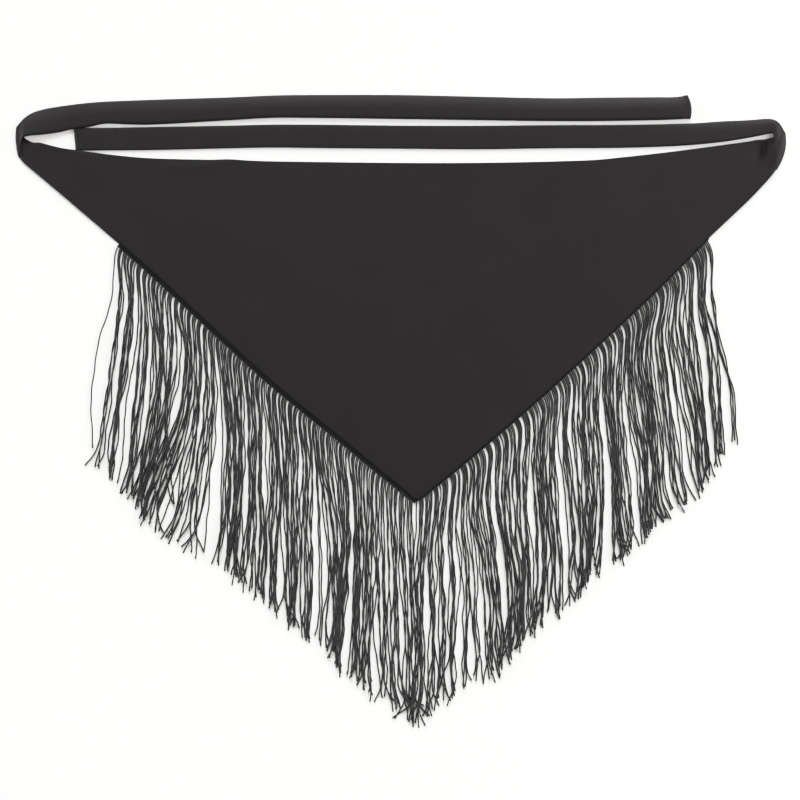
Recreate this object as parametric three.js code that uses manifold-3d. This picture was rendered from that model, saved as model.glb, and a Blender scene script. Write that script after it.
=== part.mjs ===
// Fringe hip scarf, laid flat on a table. A doubled black triangle has a cord fringe along its two
// lower edges and a flat tube tie at each upper corner. Both ties are turned back over the top of the
// triangle: the left one is folded over its corner, and the right one is folded under.
// Millimetres. +X runs along the waist edge from left to right, +Y points away from the fringe, and +Z
// is up. The origin is on the table, under the middle of the scarf's bounding box.
import * as THREE from "three";
import { mergeVertices } from "three/addons/utils/BufferGeometryUtils.js";
import Module from "manifold-3d";

const wasm = await Module();
wasm.setup();

// Driving sizes.
const CLOTH_THICKNESS = 1.8; // two layers of crepe-backed satin with their turned seams
const SEAM_GAP = 0.3; // clear space between pieces that are sewn together
const LAYER_GAP = 0.5; // clear space between the two layers of a corner fold
const FRINGE_LENGTH = 243; // hem to cord end
const CORD_PITCH = 3.9; // along the hem, between the cords of this model
const CORD_RADIUS = 0.8; // circumscribed radius of a three-sided cord
const FLOOR_CLEARANCE = 0.15; // between the table and the lowest cords
const HEADER_WIDTH = { left: 3.4, right: 1.7 }; // how far the header tape shows below the hem

const HALF_CLOTH = CLOTH_THICKNESS / 2;
const LOWER_CORD = FLOOR_CLEARANCE + CORD_RADIUS / 2; // the cords lie in two levels, at these centre heights
const UPPER_CORD = LOWER_CORD + CORD_RADIUS * 1.5 + 0.25;
const HEADER_FOOT = 0.25; // height of the header tape's underside
const HEADER_TOP = UPPER_CORD + 0.45;
const HEADER_BEVEL = 0.5;
const HEADER_STEP = { straight: 21, tip: 3 };
const HEADER_TIP_REACH = 24;
const ROOT_DEPTH = 0.9; // how far inside the header tape a cord starts
const UP = new THREE.Vector3(0, 0, 1);

// Names the columns of a table, so that each row reads as an object.
const table = (columns, rows) =>
  rows.map((row) => Object.fromEntries(columns.map((name, i) => [name, row[i]])));

// The waist edge of the triangle, from its left seam to its right seam. It sags a little in the middle.
const WAIST_EDGE = table(["x", "y"], [
  [-411.4, 297.6],
  [-404.8, 295.2],
  [-390.1, 293.2],
  [-354.2, 286.2],
  [-314.6, 280.9],
  [-276.1, 277.6],
  [-211.2, 275.8],
  [-132.0, 273.9],
  [55.0, 272.9],
  [203.5, 275.7],
  [251.9, 279.8],
  [308.0, 287.0],
  [379.5, 296.2],
  [400.4, 299.4],
]);

// The hem, down the left edge to the rounded tip and up the right edge.
const HEM_EDGE = table(["x", "y"], [
  [-411.4, 270.1],
  [-395.5, 256.9],
  [-340.6, 210.3],
  [-274.1, 152.3],
  [-151.1, 38.8],
  [-57.3, -38.6],
  [4.5, -89.4],
  [16.0, -97.6],
  [27.0, -92.0],
  [112.2, -21.2],
  [174.9, 34.3],
  [275.9, 127.8],
  [336.6, 188.5],
  [382.8, 233.0],
  [400.4, 251.6],
]);
const TIP_X = 16;
const FRINGE_FROM = -309.5; // first cord on the left edge
const FRINGE_TO = 338; // last cord on the right edge

// Stations across the panel are closer together near the corners and round the tip.
const STATION_STEP = 20;
const CORNER_STEP = 6;
const CORNER_REACH = 42;
const TIP_STEP = 3.5;
const TIP_REACH = 12;
const SHORTEST_END_STEP = 0.5; // the last stretch takes in a remainder shorter than this share of a step

// Height of the panel's upper surface near its edges, as a share of the cloth's thickness.
const EDGE_ROLL = table(["inset", "height"], [
  [0.0, 0.45],
  [0.8, 0.98],
  [2.6, 1.26],
  [6.5, 1.04],
  [13.0, 1.0],
]);
const FIELD_SHARES = [0.12, 0.27, 0.42, 0.58, 0.73, 0.88]; // rows of points between the rolled edges
const UNDERSIDE_INSET = 0.7; // the flat underside starts this far inside the edge
const FOLD_INSET = 3; // the troughs and ridges fade out this close to an edge

// Soft troughs and ridges of the laid cloth: centre, direction in degrees, reach along and across, and height.
const PANEL_FOLDS = table(["x", "y", "turn", "along", "across", "height"], [
  [-406, 289, 60, 14, 5, -0.7],
  [393, 286, 80, 26, 5, -0.8],
  [384, 262, 62, 24, 8, 0.5],
  [-212, 271, 8, 26, 5, 0.4],
  [-330, 262, -40, 60, 12, 0.35],
  [330, 250, 38, 70, 14, 0.35],
]);

// Sections across the left tie. The under-layer runs from the panel's corner out to the fold, and the
// upper layer from the fold back along the top of the scarf. Each section goes from its fringe-side end
// to its far end.
const TIE_COLUMNS = ["lowX", "lowY", "highX", "highY", "middle", "bow", "puff"];
const UNDER = HALF_CLOTH;
const OVER = HALF_CLOTH + CLOTH_THICKNESS + LAYER_GAP;
const LEFT_TIE_ROOT = table(TIE_COLUMNS, [
  [-411.7, 270.4, -411.7, 297.7, UNDER, 0, 0],
  [-416.0, 275.0, -417.4, 305.1, UNDER, 0.8, 0],
  [-418.4, 278.7, -420.0, 314.0, UNDER, 2, 0],
]);
const LEFT_TIE_RUN = table(TIE_COLUMNS, [
  [-418.4, 281.5, -419.6, 316.0, OVER, 2, 0],
  [-417.6, 290.0, -416.4, 321.0, OVER, 1.6, 0.3],
  [-416.4, 299.5, -411.0, 325.6, OVER, 0.8, 0.6],
  [-412.5, 304.9, -404.5, 329.4, OVER, 0.2, 0.8],
  [-395.5, 305.2, -391.6, 332.6, 1.6, 0, 1.0],
  [-377.3, 307.6, -372.9, 335.7, UNDER, 0, 1.1],
  [-360.8, 312.2, -356.4, 337.9, UNDER, 0, 1.2],
  [-343.2, 313.1, -339.9, 339.7, UNDER, 0, 1.3],
  [-325.6, 316.8, -323.4, 340.9, UNDER, 0, 1.5],
  [-276.1, 316.3, -276.1, 342.5, UNDER, 0, 1.6],
  [-188.1, 320.0, -188.1, 345.0, UNDER, 0, 1.6],
  [-141.9, 322.7, -134.0, 347.7, UNDER, 0, 1.8],
  [-90.2, 322.6, -86.9, 348.1, UNDER, 0, 1.7],
  [-1.1, 322.0, -1.1, 348.0, UNDER, 0, 1.6],
  [83.6, 320.5, 83.6, 345.9, UNDER, 0, 1.7],
  [167.2, 319.4, 167.2, 343.9, UNDER, 0, 1.8],
  [279.4, 320.7, 279.4, 345.2, UNDER, 0, 1.8],
  [303.0, 321.4, 302.0, 345.6, UNDER, 0, 1.6],
  [312.4, 321.5, 309.6, 346.8, UNDER, -1.4, 1.2],
  [314.6, 321.5, 311.6, 347.4, UNDER, -1.6, 0.7],
  [318.0, 321.4, 314.2, 348.0, UNDER, -2.2, 0.5],
]);

// Sections across the right tie. Its upper layer runs out over the fold, and its under-layer comes back.
const RIGHT_TIE_ROOT = table(TIE_COLUMNS, [
  [400.7, 251.9, 400.7, 299.4, UNDER, 0, 0],
  [402.8, 254.6, 403.4, 300.4, 1.9, 0.6, 0.1],
  [405.0, 257.8, 406.6, 301.6, 3.1, 1.6, 0.2],
  [407.0, 261.2, 413.0, 303.2, OVER, 3.6, 0.4],
  [408.8, 264.0, 420.4, 305.0, OVER, 5, 0.2],
]);
const RIGHT_TIE_RUN = table(TIE_COLUMNS, [
  [408.8, 266.5, 419.8, 309.0, UNDER, 4.6, 0],
  [408.8, 278.0, 418.2, 314.0, UNDER, 2.6, 0],
  [409.4, 290.0, 414.6, 318.4, UNDER, 1, 0],
  [409.4, 304.6, 406.8, 321.5, UNDER, 0.4, 0.3],
  [402.0, 304.3, 399.8, 321.7, UNDER, 0, 0.5],
  [387.4, 300.7, 383.9, 320.5, UNDER, 0, 0.5],
  [356.4, 296.6, 356.4, 319.2, UNDER, 0, 0.4],
  [317.9, 293.5, 317.9, 316.8, UNDER, 0, 0.4],
  [251.9, 290.8, 251.9, 315.0, UNDER, 0, 0.5],
  [167.2, 290.6, 167.2, 313.9, UNDER, 0, 0.4],
  [83.6, 289.3, 83.6, 313.6, UNDER, 0, 0.4],
  [-94.6, 289.7, -94.6, 313.4, UNDER, 0, 0.5],
  [-188.1, 290.3, -188.1, 313.9, UNDER, 0, 0.4],
  [-276.1, 288.8, -276.1, 311.9, UNDER, 0, 0.4],
  [-331.1, 287.6, -331.1, 311.4, UNDER, 0, 0.4],
  [-350.6, 287.4, -352.2, 311.4, UNDER, 0.4, 0.4],
  [-352.8, 287.4, -354.4, 311.4, UNDER, 0.5, 0.1],
  [-357.0, 287.3, -359.4, 311.4, UNDER, 0.7, 0.3],
]);
const RUN_STEP = 22; // longest stretch of a tie between two sections
const FOLD_STEPS = 6; // sections round a corner fold

// Where round the section of a tie its points lie: across from -1 to 1, and through the cloth from -1 to 1.
const TIE_PROFILE = table(["across", "through"], [
  [-1, 0],
  [-0.93, 0.8],
  [-0.8, 1],
  [0, 1],
  [0.8, 1],
  [0.93, 0.8],
  [1, 0],
  [0.93, -0.8],
  [0.8, -1],
  [0, -1],
  [-0.8, -1],
  [-0.93, -0.8],
]);

// Locks of the fringe: a run of hem, and where that run's cords lie at half their length and at their ends.
const LOCK_COLUMNS = ["hemFrom", "hemTo", "midFrom", "midTo", "endFrom", "endTo"];
const LEFT_LOCKS = table(LOCK_COLUMNS, [
  [-310, -306, -334, -330, -346, -341],
  [-306, -297, -322, -314, -338, -327],
  [-297, -289, -310, -304, -323, -313],
  [-289, -283, -298, -294, -308, -304],
  [-283, -273, -288, -279, -300, -290],
  [-273, -263, -276, -268, -285, -277],
  [-263, -245, -265, -255, -273, -263],
  [-245, -225, -246, -234, -256, -246],
  [-225, -213, -226, -217, -239, -228],
  [-213, -201, -214, -206, -219, -211],
  [-201, -181, -198, -180, -206, -189],
  [-181, -165, -177, -165, -183, -172],
  [-165, -149, -161, -151, -166, -158],
  [-149, -135, -144, -133, -152, -140],
  [-135, -121, -130, -119, -134, -122],
  [-121, -109, -117, -108, -118, -109],
  [-109, -88, -104, -88, -105, -92],
  [-88, -61, -81, -62, -86, -68],
  [-61, -42, -54, -38, -58, -44],
  [-42, -22, -33, -17, -38, -24],
  [-22, 0, -11, 4, -17, 0],
  [0, 16, 7, 19, 6, 17],
]);
const RIGHT_LOCKS = table(LOCK_COLUMNS, [
  [16, 27, 22, 30, 21, 30],
  [27, 43, 34, 46, 35, 48],
  [43, 57, 50, 62, 52, 63],
  [57, 76, 67, 83, 71, 86],
  [76, 97, 88, 105, 94, 110],
  [97, 125, 110, 130, 115, 132],
  [125, 147, 133, 145, 137, 149],
  [147, 166, 155, 171, 157, 173],
  [166, 178, 174, 181, 177, 186],
  [178, 188, 186, 192, 190, 197],
  [188, 218, 197, 220, 201, 222],
  [218, 233, 232, 241, 238, 248],
  [233, 254, 245, 259, 256, 269],
  [254, 277, 268, 284, 276, 291],
  [277, 298, 289, 308, 299, 320],
  [298, 316, 313, 328, 325, 340],
  [316, 329, 331, 342, 343, 354],
  [329, 335, 344, 351, 357, 365],
  [335, 338, 355, 358, 371, 374],
]);
const ROOT_TURN = 5; // cords leave the hem square to it and turn down within about this length
const CORD_STATIONS = [0, 0.02, 0.06, 0.3, 0.64, 1]; // shares of a cord's length
const END_SCATTER = 9; // how unevenly the cord ends are cut
const SWAY = { width: 0.5, waves: 1.6 }; // side to side drift of a cord, in millimetres and waves

// Materials.
const CLOTH = new THREE.MeshStandardMaterial({ color: 0x302e2f, roughness: 0.62, metalness: 0 });
const CORD = new THREE.MeshStandardMaterial({ color: 0x343233, roughness: 0.5, metalness: 0 });

// A smooth curve through an edge table, as a function of x. It keeps between neighbouring rows.
function edgeCurve(rows) {
  const slopes = rows.map((row, i) => {
    const before = rows[Math.max(i - 1, 0)];
    const after = rows[Math.min(i + 1, rows.length - 1)];
    return (after.y - before.y) / (after.x - before.x);
  });
  return (x) => {
    const last = rows.length - 2;
    let i = 0;
    while (i < last && x > rows[i + 1].x) i++;
    const span = rows[i + 1].x - rows[i].x;
    const t = THREE.MathUtils.clamp((x - rows[i].x) / span, 0, 1);
    const rise = t * t * (3 - 2 * t);
    const leave = t * (1 - t) * (1 - t) * span * slopes[i];
    const arrive = t * t * (t - 1) * span * slopes[i + 1];
    return rows[i].y * (1 - rise) + rows[i + 1].y * rise + leave + arrive;
  };
}
const waistY = edgeCurve(WAIST_EDGE);
const hemY = edgeCurve(HEM_EDGE);

// Slope of the hem at x, as rise over run.
const hemSlope = (x) => (hemY(x + 0.5) - hemY(x - 0.5));

// A closed solid through rings of equally many points, with flat caps.
function loft(rings) {
  const size = rings[0].length;
  const position = rings.flat().flatMap((p) => [p.x, p.y, p.z]);
  const index = [];
  for (let r = 0; r + 1 < rings.length; r++) {
    for (let k = 0; k < size; k++) {
      const a = r * size + k;
      const b = r * size + ((k + 1) % size);
      index.push(a, b, b + size, a, b + size, a + size);
    }
  }
  const last = (rings.length - 1) * size;
  for (let k = 1; k + 1 < size; k++) {
    index.push(0, k + 1, k);
    index.push(last, last + k, last + k + 1);
  }
  const geometry = new THREE.BufferGeometry();
  geometry.setAttribute("position", new THREE.Float32BufferAttribute(position, 3));
  geometry.setIndex(index);
  if (signedVolume(geometry) < 0) geometry.setIndex(index.reverse());
  return geometry;
}

// Volume enclosed by a geometry, negative where its faces point inwards.
function signedVolume(geometry) {
  const point = (i) => new THREE.Vector3().fromBufferAttribute(geometry.attributes.position, i);
  let volume = 0;
  for (let i = 0; i < geometry.index.count; i += 3) {
    const [a, b, c] = [0, 1, 2].map((k) => point(geometry.index.getX(i + k)));
    volume += a.dot(b.cross(c)) / 6;
  }
  return volume;
}

// Places across the panel at which its sections are taken.
function panelStations() {
  const from = WAIST_EDGE[0].x;
  const to = WAIST_EDGE[WAIST_EDGE.length - 1].x;
  const stations = [];
  for (let x = from; x < to; ) {
    stations.push(x);
    const nearCorner = Math.min(x - from, to - x - CORNER_STEP) < CORNER_REACH;
    const nearTip = Math.abs(x - TIP_X) < TIP_REACH;
    const untilTip = TIP_X - TIP_REACH - x;
    let step = nearCorner ? CORNER_STEP : STATION_STEP;
    if (nearTip) step = TIP_STEP;
    if (untilTip > 0 && untilTip < step) step = Math.max(untilTip + 0.1, TIP_STEP);
    if (to - x < (1 + SHORTEST_END_STEP) * step) step = to - x;
    x += step;
  }
  stations.push(to);
  return stations;
}

// How far the laid cloth rises or dips at a point of the panel.
function foldHeight(x, y) {
  return PANEL_FOLDS.reduce((sum, fold) => {
    const turn = THREE.MathUtils.degToRad(fold.turn);
    const along = (x - fold.x) * Math.cos(turn) + (y - fold.y) * Math.sin(turn);
    const across = (y - fold.y) * Math.cos(turn) - (x - fold.x) * Math.sin(turn);
    return sum + fold.height * Math.exp(-((along / fold.along) ** 2) - (across / fold.across) ** 2);
  }, 0);
}

// The doubled triangle, as sections from hem to waist edge: a flat underside and rolled, rounded edges.
function makePanel() {
  const rollReach = EDGE_ROLL[EDGE_ROLL.length - 1].inset;
  const rings = panelStations().map((x) => {
    const low = hemY(x);
    const high = waistY(x);
    const stretch = Math.hypot(1, hemSlope(x));
    const room = Math.min(1, (high - low) / (3 * stretch * rollReach));
    const surface = (y, height) => {
      const inset = Math.min(y - low, high - y);
      const calm = THREE.MathUtils.smoothstep(inset, 0, FOLD_INSET);
      return new THREE.Vector3(x, y, height * CLOTH_THICKNESS + calm * foldHeight(x, y));
    };
    const hemSide = EDGE_ROLL.map((e) => surface(low + e.inset * stretch * room, e.height));
    const waistSide = EDGE_ROLL.map((e) => surface(high - e.inset * room, e.height)).reverse();
    const fieldFrom = low + rollReach * stretch * room;
    const fieldTo = high - rollReach * room;
    const field = FIELD_SHARES.map((share) => surface(THREE.MathUtils.lerp(fieldFrom, fieldTo, share), 1));
    const underside = [high - UNDERSIDE_INSET, (low + high) / 2, low + UNDERSIDE_INSET * stretch];
    return [...hemSide, ...field, ...waistSide, ...underside.map((y) => new THREE.Vector3(x, y, 0))];
  });
  return loft(rings);
}

// The two ends of a tie's section in space.
const lowEnd = (row) => new THREE.Vector3(row.lowX, row.lowY, row.middle);
const highEnd = (row) => new THREE.Vector3(row.highX, row.highY, row.middle);

// Sections between the rows of a table, on smooth curves through the rows' ends. Each has both ends in
// space, its bow in plan, its puff, and the direction through the cloth.
function sectionsThrough(rows, through) {
  const lows = new THREE.CatmullRomCurve3(rows.map(lowEnd), false, "centripetal");
  const highs = new THREE.CatmullRomCurve3(rows.map(highEnd), false, "centripetal");
  const sections = [];
  rows.forEach((row, i) => {
    const next = rows[i + 1];
    const gap = next ? lowEnd(row).add(highEnd(row)).distanceTo(lowEnd(next).add(highEnd(next))) / 2 : 0;
    const steps = Math.max(1, Math.ceil(gap / RUN_STEP));
    for (let k = 0; k < (next ? steps : 1); k++) {
      const at = (i + k / steps) / (rows.length - 1);
      const mix = (name) => THREE.MathUtils.lerp(row[name], next ? next[name] : row[name], k / steps);
      sections.push({
        low: lows.getPoint(at),
        high: highs.getPoint(at),
        bow: mix("bow"),
        puff: mix("puff"),
        through,
      });
    }
  });
  return sections;
}

// Sections round the fold between the last section of a root and the first of a run. Side is the fold's
// direction along X, and the cloth turns up and over, or down and under.
function foldSections(from, to, side) {
  const outward = new THREE.Vector3(side, 0, 0);
  const rise = to.low.z - from.low.z;
  const reach = Math.abs(rise) / 2;
  const sections = [];
  for (let k = 1; k < FOLD_STEPS; k++) {
    const angle = (Math.PI * k) / FOLD_STEPS;
    const share = (1 - Math.cos(angle)) / 2;
    const bulge = outward.clone().multiplyScalar(reach * Math.sin(angle));
    const inner = outward.clone().multiplyScalar(-Math.sign(rise) * Math.sin(angle));
    sections.push({
      low: from.low.clone().lerp(to.low, share).add(bulge),
      high: from.high.clone().lerp(to.high, share).add(bulge),
      bow: THREE.MathUtils.lerp(from.bow, to.bow, share),
      puff: 0,
      through: UP.clone().multiplyScalar(Math.cos(angle)).add(inner),
    });
  }
  return sections;
}

// The ring of points round one section of a tie. What faces up is puffed, and what faces down stays flat.
function tieRing(section, side) {
  const across = section.high.clone().sub(section.low).normalize();
  const through = section.through.clone().addScaledVector(across, -section.through.dot(across)).normalize();
  return TIE_PROFILE.map((p) => {
    const crown = 1 - p.across * p.across;
    const point = section.low.clone().lerp(section.high, (1 + p.across) / 2);
    point.x += side * section.bow * crown;
    point.addScaledVector(through, p.through * HALF_CLOTH);
    point.z += section.puff * crown * Math.max(0, p.through * through.z);
    return point;
  });
}

// A tie: its root from the panel's corner, the corner fold, and its run along the top of the scarf.
function makeTie(rootRows, runRows, side) {
  const root = sectionsThrough(rootRows, UP);
  const run = sectionsThrough(runRows, UP.clone().negate());
  const fold = foldSections(root[root.length - 1], run[0], side);
  return loft([...root, ...fold, ...run].map((section) => tieRing(section, side)));
}

// A point at a distance below the hem, square to it.
function belowHem(x, distance, z) {
  const slope = hemSlope(x);
  const length = Math.hypot(1, slope);
  return new THREE.Vector3(x + (slope / length) * distance, hemY(x) - distance / length, z);
}

// Places along a header tape, closer together round the tip.
function headerStations(from, to) {
  const turns = [TIP_X - HEADER_TIP_REACH, TIP_X + HEADER_TIP_REACH].filter((x) => x > from && x < to);
  const stops = [from, ...turns, to];
  return stops.flatMap((stop, i) => {
    if (i === stops.length - 1) return [stop];
    const run = stops[i + 1] - stop;
    const byTip = Math.abs(stop + run / 2 - TIP_X) < HEADER_TIP_REACH;
    const steps = Math.ceil(run / (byTip ? HEADER_STEP.tip : HEADER_STEP.straight));
    return Array.from({ length: steps }, (_, k) => stop + (run * k) / steps);
  });
}

// The narrow header tape along one hem.
function makeHeader(from, to, width) {
  const rings = headerStations(from, to).map((x) => {
    const at = (distance, z) => belowHem(x, distance, z);
    return [
      at(SEAM_GAP, HEADER_FOOT),
      at(SEAM_GAP + width, HEADER_FOOT),
      at(SEAM_GAP + width, HEADER_TOP - HEADER_BEVEL),
      at(SEAM_GAP + width - HEADER_BEVEL, HEADER_TOP),
      at(SEAM_GAP + HEADER_BEVEL, HEADER_TOP),
      at(SEAM_GAP, HEADER_TOP - HEADER_BEVEL),
    ];
  });
  return loft(rings);
}

// The same scatter on each run: a number from -1 to 1 for each cord and purpose.
const scatter = (cord, purpose) => {
  const wave = Math.sin(cord * 12.9898 + purpose * 78.233) * 43758.5453;
  return 2 * (wave - Math.floor(wave)) - 1;
};

// One three-sided cord of a lock. Share is its place across the lock, from 0 to 1.
function makeCord(lock, share, number, side, width) {
  const rootX = THREE.MathUtils.lerp(lock.hemFrom, lock.hemTo, share);
  const midX = THREE.MathUtils.lerp(lock.midFrom, lock.midTo, share);
  const endX = THREE.MathUtils.lerp(lock.endFrom, lock.endTo, share);
  const root = belowHem(rootX, SEAM_GAP + width - ROOT_DEPTH, 0);
  const height = number % 2 ? UPPER_CORD : LOWER_CORD;
  const length = FRINGE_LENGTH + END_SCATTER * scatter(number, 1);
  const phase = Math.PI * scatter(number, 2);
  const points = CORD_STATIONS.map((f) => {
    const s = f * length;
    const turned = root.x + side * ROOT_TURN;
    const lean = turned * (1 - f) * (1 - 2 * f) + midX * 4 * f * (1 - f) + endX * f * (2 * f - 1);
    const turning = side * ROOT_TURN * Math.exp(-s / ROOT_TURN);
    const sway = SWAY.width * Math.min(1, 4 * f) * Math.sin(phase + 2 * Math.PI * SWAY.waves * f);
    return new THREE.Vector3(lean - turning + sway, root.y - s, height);
  });
  const rings = points.map((point, i) => {
    const heading = points[Math.min(i + 1, points.length - 1)].clone().sub(points[Math.max(i - 1, 0)]);
    const across = heading.cross(UP).normalize().multiplyScalar(CORD_RADIUS * Math.cos(Math.PI / 6));
    const foot = point.clone().addScaledVector(UP, -CORD_RADIUS / 2);
    return [foot.clone().add(across), foot.sub(across), point.clone().addScaledVector(UP, CORD_RADIUS)];
  });
  return loft(rings);
}

// A geometry as a solid that can be joined, with its shared vertices merged.
function solid(geometry) {
  const bare = new THREE.BufferGeometry();
  bare.setAttribute("position", geometry.attributes.position);
  bare.setIndex(geometry.index);
  const merged = mergeVertices(bare, 1e-4);
  const vertProperties = merged.attributes.position.array;
  return new wasm.Manifold(
    new wasm.Mesh({ numProp: 3, vertProperties, triVerts: new Uint32Array(merged.index.array) }),
  );
}

// A joined solid as a geometry.
function geometryOf(manifold) {
  const mesh = manifold.getMesh();
  const geometry = new THREE.BufferGeometry();
  geometry.setAttribute("position", new THREE.BufferAttribute(new Float32Array(mesh.vertProperties), 3));
  geometry.setIndex(new THREE.BufferAttribute(new Uint32Array(mesh.triVerts), 1));
  return geometry;
}

// The fringe of one edge: its header tape with the roots of all its cords joined to it.
function makeFringe(locks, from, to, side, width) {
  const cords = [];
  locks.forEach((lock) => {
    const hemRun = (lock.hemTo - lock.hemFrom) * Math.hypot(1, hemSlope((lock.hemFrom + lock.hemTo) / 2));
    const count = Math.max(1, Math.round(hemRun / CORD_PITCH));
    for (let k = 0; k < count; k++) {
      cords.push(makeCord(lock, (k + 0.5) / count, cords.length, side, width));
    }
  });
  const header = solid(makeHeader(from, to, width));
  return geometryOf(cords.reduce((fringe, cord) => fringe.add(solid(cord)), header));
}

// The scarf.
const scarf = new THREE.Group();
function add(name, geometry, material) {
  const mesh = new THREE.Mesh(geometry, material);
  mesh.name = name;
  scarf.add(mesh);
}
const LEFT = -1;
const RIGHT = 1;
add("panel", makePanel(), CLOTH);
add("tie_left", makeTie(LEFT_TIE_ROOT, LEFT_TIE_RUN, LEFT), CLOTH);
add("tie_right", makeTie(RIGHT_TIE_ROOT, RIGHT_TIE_RUN, RIGHT), CLOTH);
const leftHem = makeFringe(LEFT_LOCKS, FRINGE_FROM, TIP_X - SEAM_GAP, LEFT, HEADER_WIDTH.left);
const rightHem = makeFringe(RIGHT_LOCKS, TIP_X + SEAM_GAP, FRINGE_TO, RIGHT, HEADER_WIDTH.right);
add("fringe_left", leftHem, CORD);
add("fringe_right", rightHem, CORD);

export default scarf;
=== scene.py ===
"""A black fringe hip scarf, laid flat on a pale table and seen from straight above.

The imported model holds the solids. This script dresses them: the doubled triangle and the two folded
ties become thin cloth shells, and each fringe becomes a header tape with its cords laid one by one.
"""

from __future__ import annotations

import logging
import math
from dataclasses import dataclass, field
from enum import Enum

import bpy
import numpy as np
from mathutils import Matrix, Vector

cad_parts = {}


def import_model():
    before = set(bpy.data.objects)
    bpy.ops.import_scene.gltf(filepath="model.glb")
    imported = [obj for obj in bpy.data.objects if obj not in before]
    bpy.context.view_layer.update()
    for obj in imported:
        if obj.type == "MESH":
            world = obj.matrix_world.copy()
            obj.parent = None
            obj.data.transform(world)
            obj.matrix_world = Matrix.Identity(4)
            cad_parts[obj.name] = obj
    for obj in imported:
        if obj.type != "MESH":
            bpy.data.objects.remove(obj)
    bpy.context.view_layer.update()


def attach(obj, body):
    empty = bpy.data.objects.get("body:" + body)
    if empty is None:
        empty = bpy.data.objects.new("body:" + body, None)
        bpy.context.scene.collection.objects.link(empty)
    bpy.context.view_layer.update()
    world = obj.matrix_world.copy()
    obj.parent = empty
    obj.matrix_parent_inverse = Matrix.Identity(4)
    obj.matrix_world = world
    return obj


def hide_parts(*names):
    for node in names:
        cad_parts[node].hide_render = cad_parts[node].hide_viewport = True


LOG = logging.getLogger("hip_scarf")
MM = 0.001
UV_NAME = "cloth"
SEED = 27
TINY = 1e-6
HEM_SAMPLES = 3000
PATH_STEP = 0.5
TURNED_EDGE = 1.2
Colour = tuple[float, float, float]


class Side(Enum):
    """The two sides of the scarf, with their direction along X."""

    LEFT = -1
    RIGHT = 1


# Plan shapes. All tables are in millimetres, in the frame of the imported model.

WAIST_EDGE = (
    (-411.4, 298.9), (-408.5, 297.4), (-404.8, 295.8), (-397.0, 295.8), (-390.1, 293.9),
    (-373.0, 289.8), (-354.2, 287.2), (-314.6, 282.0), (-276.1, 278.6), (-211.2, 277.0),
    (-188.0, 277.4), (-166.0, 276.0), (-132.0, 275.0), (55.0, 273.3), (203.5, 276.2),
    (251.9, 280.5), (308.0, 287.0), (379.5, 296.5), (391.6, 298.7), (400.4, 299.4),
)
HEM_EDGE = (
    (-411.4, 270.1), (-395.5, 256.9), (-340.6, 210.3), (-274.1, 152.3), (-151.1, 38.8),
    (-57.3, -38.6), (4.5, -89.4), (16.0, -97.6), (27.0, -92.0), (112.2, -21.2),
    (174.9, 34.3), (275.9, 127.8), (336.6, 188.5), (382.8, 232.4), (400.4, 250.7),
)
TIP_X = 16.0
FRINGE_END = {Side.LEFT: -310.0, Side.RIGHT: 338.0}


class EdgeCurve:
    """A smooth curve through the rows of an edge table, read as y for x."""

    def __init__(self, rows: tuple[tuple[float, float], ...]) -> None:
        """Keeps the rows and the slope at each.

        Args:
            rows: The x and y of each point, in rising x.
        """
        self.xs, self.ys = np.array(rows).T
        before = np.maximum(np.arange(len(rows)) - 1, 0)
        after = np.minimum(np.arange(len(rows)) + 1, len(rows) - 1)
        self.slopes = (self.ys[after] - self.ys[before]) / (self.xs[after] - self.xs[before])

    def y(self, x: np.ndarray | float) -> np.ndarray:
        """Gives the edge's y.

        Args:
            x: Where to read it.

        Returns:
            The y at each x.
        """
        x = np.asarray(x, dtype=float)
        i = np.clip(np.searchsorted(self.xs, x, side="right") - 1, 0, len(self.xs) - 2)
        span = self.xs[i + 1] - self.xs[i]
        t = np.clip((x - self.xs[i]) / span, 0, 1)
        rise = t * t * (3 - 2 * t)
        leave = t * (1 - t) ** 2 * span * self.slopes[i]
        arrive = t * t * (t - 1) * span * self.slopes[i + 1]
        return self.ys[i] * (1 - rise) + self.ys[i + 1] * rise + leave + arrive

    def slope(self, x: np.ndarray | float) -> np.ndarray:
        """Gives the edge's slope, as rise over run, at each x."""
        return self.y(np.asarray(x) + 0.5) - self.y(np.asarray(x) - 0.5)


HEM = EdgeCurve(HEM_EDGE)
WAIST = EdgeCurve(WAIST_EDGE)


def below_hem(x: np.ndarray | float, distance: np.ndarray | float) -> np.ndarray:
    """Gives points below the hem, square to it.

    Args:
        x: Where on the hem each point starts.
        distance: How far below the hem it lies.

    Returns:
        The x and y of each point, in the last axis.
    """
    slope = HEM.slope(x)
    length = np.hypot(1, slope)
    return np.stack([x + slope / length * distance, HEM.y(x) - distance / length], axis=-1)


def run_length(points: np.ndarray) -> np.ndarray:
    """Gives how far along a path each of its points lies."""
    return np.concatenate([[0], np.cumsum(np.linalg.norm(np.diff(points, axis=0), axis=1))])


def resample(path: np.ndarray, at: np.ndarray) -> np.ndarray:
    """Gives the points at the given distances along a path."""
    length = run_length(path)
    return np.stack([np.interp(at, length, column) for column in path.T], axis=-1)


def bell(distance: np.ndarray | float, reach: float) -> np.ndarray:
    """Gives a soft bell, 1 at no distance and almost 0 at twice its reach."""
    return np.exp(-((distance / reach) ** 2))


def ease_in(distance: np.ndarray, reach: float) -> np.ndarray:
    """Gives a share that rises from 0 at no distance and nears 1 past its reach."""
    return 1 - np.exp(-distance / reach)


def rounding(inset: np.ndarray, radius: np.ndarray | float) -> np.ndarray:
    """Gives the square of a rounded edge's height at each inset, as a share of the radius."""
    return 1 - (1 - np.clip(inset / radius, 0, 1)) ** 2


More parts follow.
